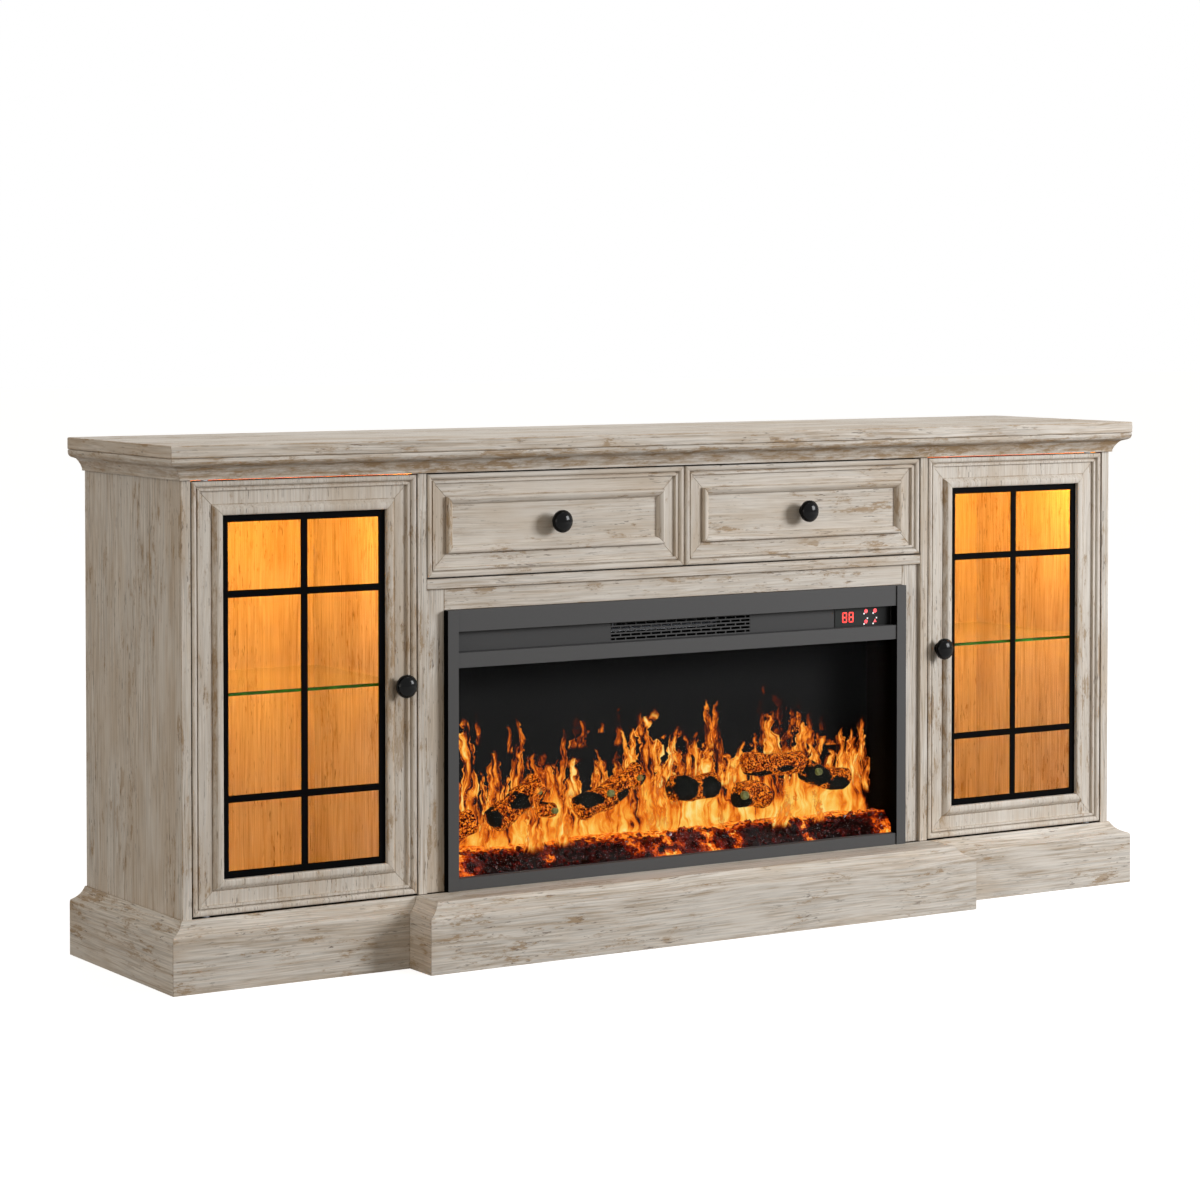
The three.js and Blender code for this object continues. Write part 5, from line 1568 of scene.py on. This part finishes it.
def add_tongue(bm, uv, row, y, seed):
    """A flat strip that sways from foot to tip, for one tongue of flame."""
    foot_x, foot_z, tip_x, tip_z, width, heat = row
    foot_z -= (tip_z - foot_z) * TONGUE_ROOT
    half = width * TONGUE_SPREAD / 2
    rows = []
    for step in range(TONGUE_ROWS + 1):
        t = step / TONGUE_ROWS
        sway = TONGUE_SWAY * width * math.sin(TONGUE_WAVES * math.pi * t + seed) * t
        x = foot_x + (tip_x - foot_x) * t ** TONGUE_CURL + sway
        z = foot_z + (tip_z - foot_z) * t
        places = [((x + side * half) / MILLIMETRES, y, z / MILLIMETRES) for side in (-1, 1)]
        rows.append([bm.verts.new(place) for place in places])
    faces = []
    for step, ((a, b), (d, c)) in enumerate(zip(rows, rows[1:])):
        face = bm.faces.new((a, b, c, d))
        low, high = step / TONGUE_ROWS, (step + 1) / TONGUE_ROWS
        for loop, place in zip(face.loops, ((0, low), (1, low), (1, high), (0, high))):
            loop[uv].uv = place
        faces.append(face)
    mark_fire(bm, seed, heat, faces)


def small_tongues():
    """Low tongues at random places along the fire."""
    chance = random.Random(SMALL_TONGUE_SEED)
    rows = []
    for _ in range(SMALL_TONGUES):
        x, z = chance.uniform(*SMALL_FOOT_X), chance.uniform(*SMALL_FOOT_Z)
        tip = (x + chance.uniform(*SMALL_LEAN), z + chance.uniform(*SMALL_RISE))
        rows.append((x, z, *tip, chance.uniform(*SMALL_WIDTH), chance.uniform(*SMALL_HEAT)))
    return tuple(rows)


def make_flames():
    filaments = filament_group()
    flame = tongue_material(flame_group(filaments))
    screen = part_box("flame_screen")[0].y
    finished_piece("flame_screen", cad_copy("flame_screen"), [screen_material()])
    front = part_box("firebox")[0].y + FRONT_TONGUE_DEPTH
    for name, rows, first in (
        ("flames_back", small_tongues() + TONGUES, screen - TONGUE_STEP),
        ("flames_front", FRONT_TONGUES, front),
    ):
        bm = empty_mesh(FIRE_VALUES)
        uv = bm.loops.layers.uv.new("UVMap")
        for number, row in enumerate(rows):
            add_tongue(bm, uv, row, first - number * TONGUE_STEP, number * TONGUE_SEED_STEP)
        new_piece(name, bm, [flame], "cabinet", "flame_sheet")

    bm = bmesh.new()
    y = screen - SHEET_ROOM - TONGUE_STEP
    corners = (
        (SHEET_LEFT, y, SHEET_LOW), (SHEET_RIGHT, y, SHEET_LOW),
        (SHEET_RIGHT, y, SHEET_HIGH), (SHEET_LEFT, y, SHEET_HIGH),
    )
    bm.faces.new([bm.verts.new(corner) for corner in corners])
    new_piece("flame_mass", bm, [sheet_material(filaments)], "cabinet", "flame_sheet")


def join_rows(bm, rows):
    """Faces between rings of vertices that follow one another, and at both ends."""
    made = []
    for first, second in zip(rows, rows[1:]):
        for number in range(len(first)):
            after = (number + 1) % len(first)
            made.append(bm.faces.new((first[number], second[number], second[after], first[after])))
    bm.faces.new(rows[0])
    bm.faces.new(rows[-1])
    return made


def add_log(bm, row, y):
    """A knotty rounded log between two points."""
    x0, z0, x1, z1, radius, bend = (value / MILLIMETRES for value in row)
    axis = Vector((x1 - x0, 0, z1 - z0))
    length = axis.length
    axis.normalize()
    side = Vector((0, 1, 0))
    up = axis.cross(side)
    rings = []
    for ring in range(LOG_RINGS + 1):
        t = ring / LOG_RINGS
        reach = min(t, 1 - t) * length / (radius * LOG_END)
        swell = math.sqrt(max(0.0, 1 - (1 - min(reach, 1)) ** 2))
        centre = Vector((x0, y, z0)) + axis * length * t - up * bend * math.sin(math.pi * t)
        verts = []
        for number in range(LOG_SIDES):
            angle = 2 * math.pi * number / LOG_SIDES
            out = side * math.cos(angle) + up * math.sin(angle)
            place = centre + out * radius
            knots = 1 + KNOT_SIZE * noise.noise(place * KNOT_SCALE)
            knots += RIDGE_SIZE * noise.noise(place * RIDGE_SCALE)
            verts.append(bm.verts.new(centre + out * radius * (LOG_TIP + LOG_SWELL * swell) * knots))
        rings.append(verts)
    join_rows(bm, rings)


def mark_char(bm):
    """Writes how charred the logs are: above zero inside a spot, and falling away from it."""
    layer = bm.loops.layers.float["charring"]
    for face in bm.faces:
        for loop in face.loops:
            x, _, z = loop.vert.co * MILLIMETRES
            far = min(math.hypot((x - spot[0]) / spot[2], (z - spot[1]) / spot[3]) for spot in CHAR_SPOTS)
            loop[layer] = max(-1.0, 1.0 - far)


def make_logs():
    low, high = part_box("log_set")
    bm = empty_mesh(("charring",))
    for row in LOGS:
        add_log(bm, row, (low.y + high.y) / 2)
    mark_char(bm)
    for x, z, radius in TWIGS:
        made = bmesh.ops.create_cone(
            bm, cap_ends=True, segments=TWIG_SIDES, radius1=radius / MILLIMETRES,
            radius2=radius / (MILLIMETRES * TWIG_TAPER), depth=TWIG_LENGTH,
        )["verts"]
        turn_verts(bm, made, TWIG_TILT, "X")
        place = (x / MILLIMETRES, low.y + TWIG_LENGTH * TWIG_SINK, z / MILLIMETRES)
        bmesh.ops.translate(bm, vec=place, verts=made)
        for face in faces_of(made):
            face.material_index = 1
    face_outwards(bm)
    soften(finished_piece("log_set", bm, [ember_bark(), twig_material()]), SHARP_ANGLE)


def bed_noise(x, y, scale_x, scale_y, slice_height):
    return noise.noise(Vector((x * scale_x, y * scale_y, slice_height)))


def bed_heat(x, y):
    """How much the bed glows at a place, from 0 to 1."""
    across = x * MILLIMETRES
    lump = max(math.exp(-(((across - middle) / half) ** 2)) for middle, half in GLOW_LUMPS)
    flow = BED_FLOW[0] + BED_FLOW[1] * bed_noise(x, y, *BED_FLOW_SCALE, HEAT_SLICE)
    return lump * min(1.0, max(0.0, flow))


def bed_height(x, y, low, high):
    """Height of the ember bed: a slope at the front, then a wavy top."""
    rise = min(1.0, (y - low.y) / BED_SLOPE_DEPTH)
    wave = (bed_noise(x, y, *BED_WAVE_SCALE, WAVE_SLICE) - BED_WAVE_LEVEL) * BED_WAVE
    rough = bed_noise(x, y, BED_ROUGH_SCALE, BED_ROUGH_SCALE, ROUGH_SLICE) * BED_ROUGH
    return high.z - BED_SLOPE + rise * (BED_SLOPE + wave + rough)


def make_ember_bed():
    low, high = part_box("ember_bed")
    bm = empty_mesh(FIRE_VALUES)
    columns = []
    for column in range(BED_COLUMNS + 1):
        x = low.x + (high.x - low.x) * column / BED_COLUMNS
        points = [(low.y, low.z)]
        for step in range(BED_ROWS + 1):
            y = low.y + (high.y - low.y) * (step / BED_ROWS) ** BED_ROW_SPACING
            points.append((y, bed_height(x, y, low, high)))
        points.append((high.y, low.z))
        columns.append([bm.verts.new((x, y, z)) for y, z in points])
    glow_start = BED_SLOPE_DEPTH * BED_GLOW_START
    for face in join_rows(bm, columns):
        middle = face.calc_center_median()
        behind = min(1, max(0, (middle.y - low.y - glow_start) / BED_GLOW_DEPTH))
        heat = max(bed_heat(middle.x, middle.y), BED_BACK_HEAT * behind)
        mark_fire(bm, BED_SEED, heat, [face])
    face_outwards(bm)
    material = crystal_material()
    shade_smooth(finished_piece("ember_bed", bm, [material]))

    chance = random.Random(NUGGET_SEED)
    bm = empty_mesh(FIRE_VALUES)
    for _ in range(NUGGETS):
        size = chance.uniform(*NUGGET_SIZES)
        x = chance.uniform(low.x + size, high.x - size)
        y = low.y + size + (BED_SLOPE_DEPTH * NUGGET_REACH) * chance.random()
        z = min(bed_height(x, y, low, high), high.z + size * NUGGET_TOP)
        made = bmesh.ops.create_icosphere(bm, subdivisions=1, radius=size)["verts"]
        for vert in made:
            vert.co *= chance.uniform(*NUGGET_CHIPS)
        stretch = [chance.uniform(*limits) for limits in NUGGET_STRETCH]
        bmesh.ops.scale(bm, vec=stretch, verts=made)
        turn_verts(bm, made, chance.uniform(0, math.pi), Vector((chance.random(), chance.random(), 1)))
        bmesh.ops.translate(bm, vec=(x, y, z - size * NUGGET_SINK), verts=made)
        back = max(0, (y - low.y) / BED_SLOPE_DEPTH - NUGGET_BACK_START) * NUGGET_BACK_HEAT
        heat = max(bed_heat(x, y), back) * chance.uniform(*NUGGET_HEAT)
        mark_fire(bm, chance.random(), heat, faces_of(made))
    new_piece("ember_nuggets", bm, [material], "cabinet", "ember_resin")


# Steel and inner parts keep their CAD shapes

def paint_inner_parts():
    for node in frame["nodes"]:
        if slot_of(node) == "bare_steel":
            repaint(node, STEEL)
    repaint("firebox", FIREBOX_STEEL)
    for word in SIDES:
        repaint(f"led_bar_{word}", LED_GLOW)


# Lights, floor and camera

# Studio lamps: name, place, point aimed at, size, power and colour
STUDIO_LAMPS = (
    ("key_light", (3.3, -3.4, 1.75), (0.0, 0, 0.4), (1.5, 1.5), 169, (0.975, 0.985, 1.0)),
    ("left_light", (-3.6, -1.1, 1.0), (-0.8, 0, 0.4), (2.0, 1.5), 20, (1.0, 0.91, 0.81)),
    ("top_light", (0.2, 0.2, 3.2), (0, 0, 0.7), (2.4, 1.2), 18, (1, 1, 1)),
)
STUDIO_LIGHT = (0.34, 0.313, 0.275, 1)
STUDIO_WHITE = (1, 1, 1, 1)
FLOOR_BOUNCE = (0.13, 0.115, 0.10, 1)
FLOOR_PALE = (0.55, 0.55, 0.55, 1)
FLOOR_GLOW = 0.84
FLOOR_ROUGHNESS = 0.9
FLOOR_SIZE = 30
BAY_LIGHT_POWER = 3.5
BAY_LIGHT_COLOUR = (1.0, 0.385, 0.025)
BAY_LIGHT_TILT = 0.30


def add_area(name, place, aim, size, power, colour):
    light = bpy.data.lights.new(name, "AREA")
    light.shape = "RECTANGLE"
    light.size, light.size_y = size
    light.energy = power
    light.color = colour
    lamp = bpy.data.objects.new(name, light)
    add_to_scene(lamp)
    lamp.location = place
    lamp.rotation_euler = (Vector(aim) - Vector(place)).to_track_quat("-Z", "Y").to_euler()
    return lamp


def seen_share(s):
    """One for rays that come from the camera, straight, mirrored or through glass, else zero."""
    path = s.add("ShaderNodeLightPath").outputs
    seen = s.maths("MAXIMUM", path["Is Camera Ray"], path["Is Transmission Ray"])
    seen = s.maths("MAXIMUM", seen, path["Is Glossy Ray"])
    return s.times(seen, s.maths("LESS_THAN", path["Diffuse Depth"], 0.5))


def make_studio():
    scene = bpy.context.scene
    scene.view_settings.view_transform = "Standard"
    scene.world = bpy.data.worlds.new("studio")
    scene.world.use_nodes = True
    s = Shading(scene.world.node_tree)
    s.tree.nodes.clear()
    colour = s.blend(seen_share(s), STUDIO_LIGHT, STUDIO_WHITE)
    background = s.add("ShaderNodeBackground", {0: colour, 1: 1.0})
    s.add("ShaderNodeOutputWorld", {0: background.outputs[0]})

    material, s, shader, _ = new_material("studio_floor")
    seen = seen_share(s)
    s.fill(shader, {
        "Roughness": FLOOR_ROUGHNESS, "Specular IOR Level": 0.0,
        "Base Color": s.blend(seen, FLOOR_BOUNCE, FLOOR_PALE),
        "Emission Color": STUDIO_WHITE, "Emission Strength": s.times(seen, FLOOR_GLOW),
    })
    bm = bmesh.new()
    bmesh.ops.create_grid(bm, x_segments=1, y_segments=1, size=FLOOR_SIZE)
    mesh = bpy.data.meshes.new("studio_floor")
    bm.to_mesh(mesh)
    bm.free()
    mesh.materials.append(material)
    floor = bpy.data.objects.new("studio_floor", mesh)
    add_to_scene(floor)
    for lamp in STUDIO_LAMPS:
        add_area(*lamp)


def make_bay_lights():
    for word in SIDES:
        low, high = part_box(f"led_bar_{word}")
        middle = (low + high) / 2
        place = (middle.x, middle.y, low.z - EDGE_ROUND)
        aim = (middle.x, middle.y + BAY_LIGHT_TILT, 0)
        size = (high.x - low.x, high.y - low.y)
        lamp = add_area(f"bay_light_{word}", place, aim, size, BAY_LIGHT_POWER, BAY_LIGHT_COLOUR)
        lamp.parent = frame["bodies"]["cabinet"]


def make_camera():
    data = bpy.data.cameras.new("camera")
    data.lens = CAMERA_LENS
    data.sensor_width = CAMERA_SENSOR
    data.shift_y = CAMERA_SHIFT
    camera = bpy.data.objects.new("camera", data)
    add_to_scene(camera)
    camera.location = CAMERA_PLACE
    camera.rotation_euler = (CAMERA_TILT, 0, CAMERA_TURN)
    bpy.context.scene.camera = camera


make_camera()
make_studio()
make_bay_lights()
make_boards()
make_mouldings()
for side_word in SIDES:
    make_door(side_word)
    make_drawer(side_word)
    make_shelf(side_word)
    make_knob(f"{side_word}_door_knob")
    make_knob(f"{side_word}_drawer_knob")
make_insert_front()
make_vent_grille()
make_display()
make_flames()
make_logs()
make_ember_bed()
paint_inner_parts()
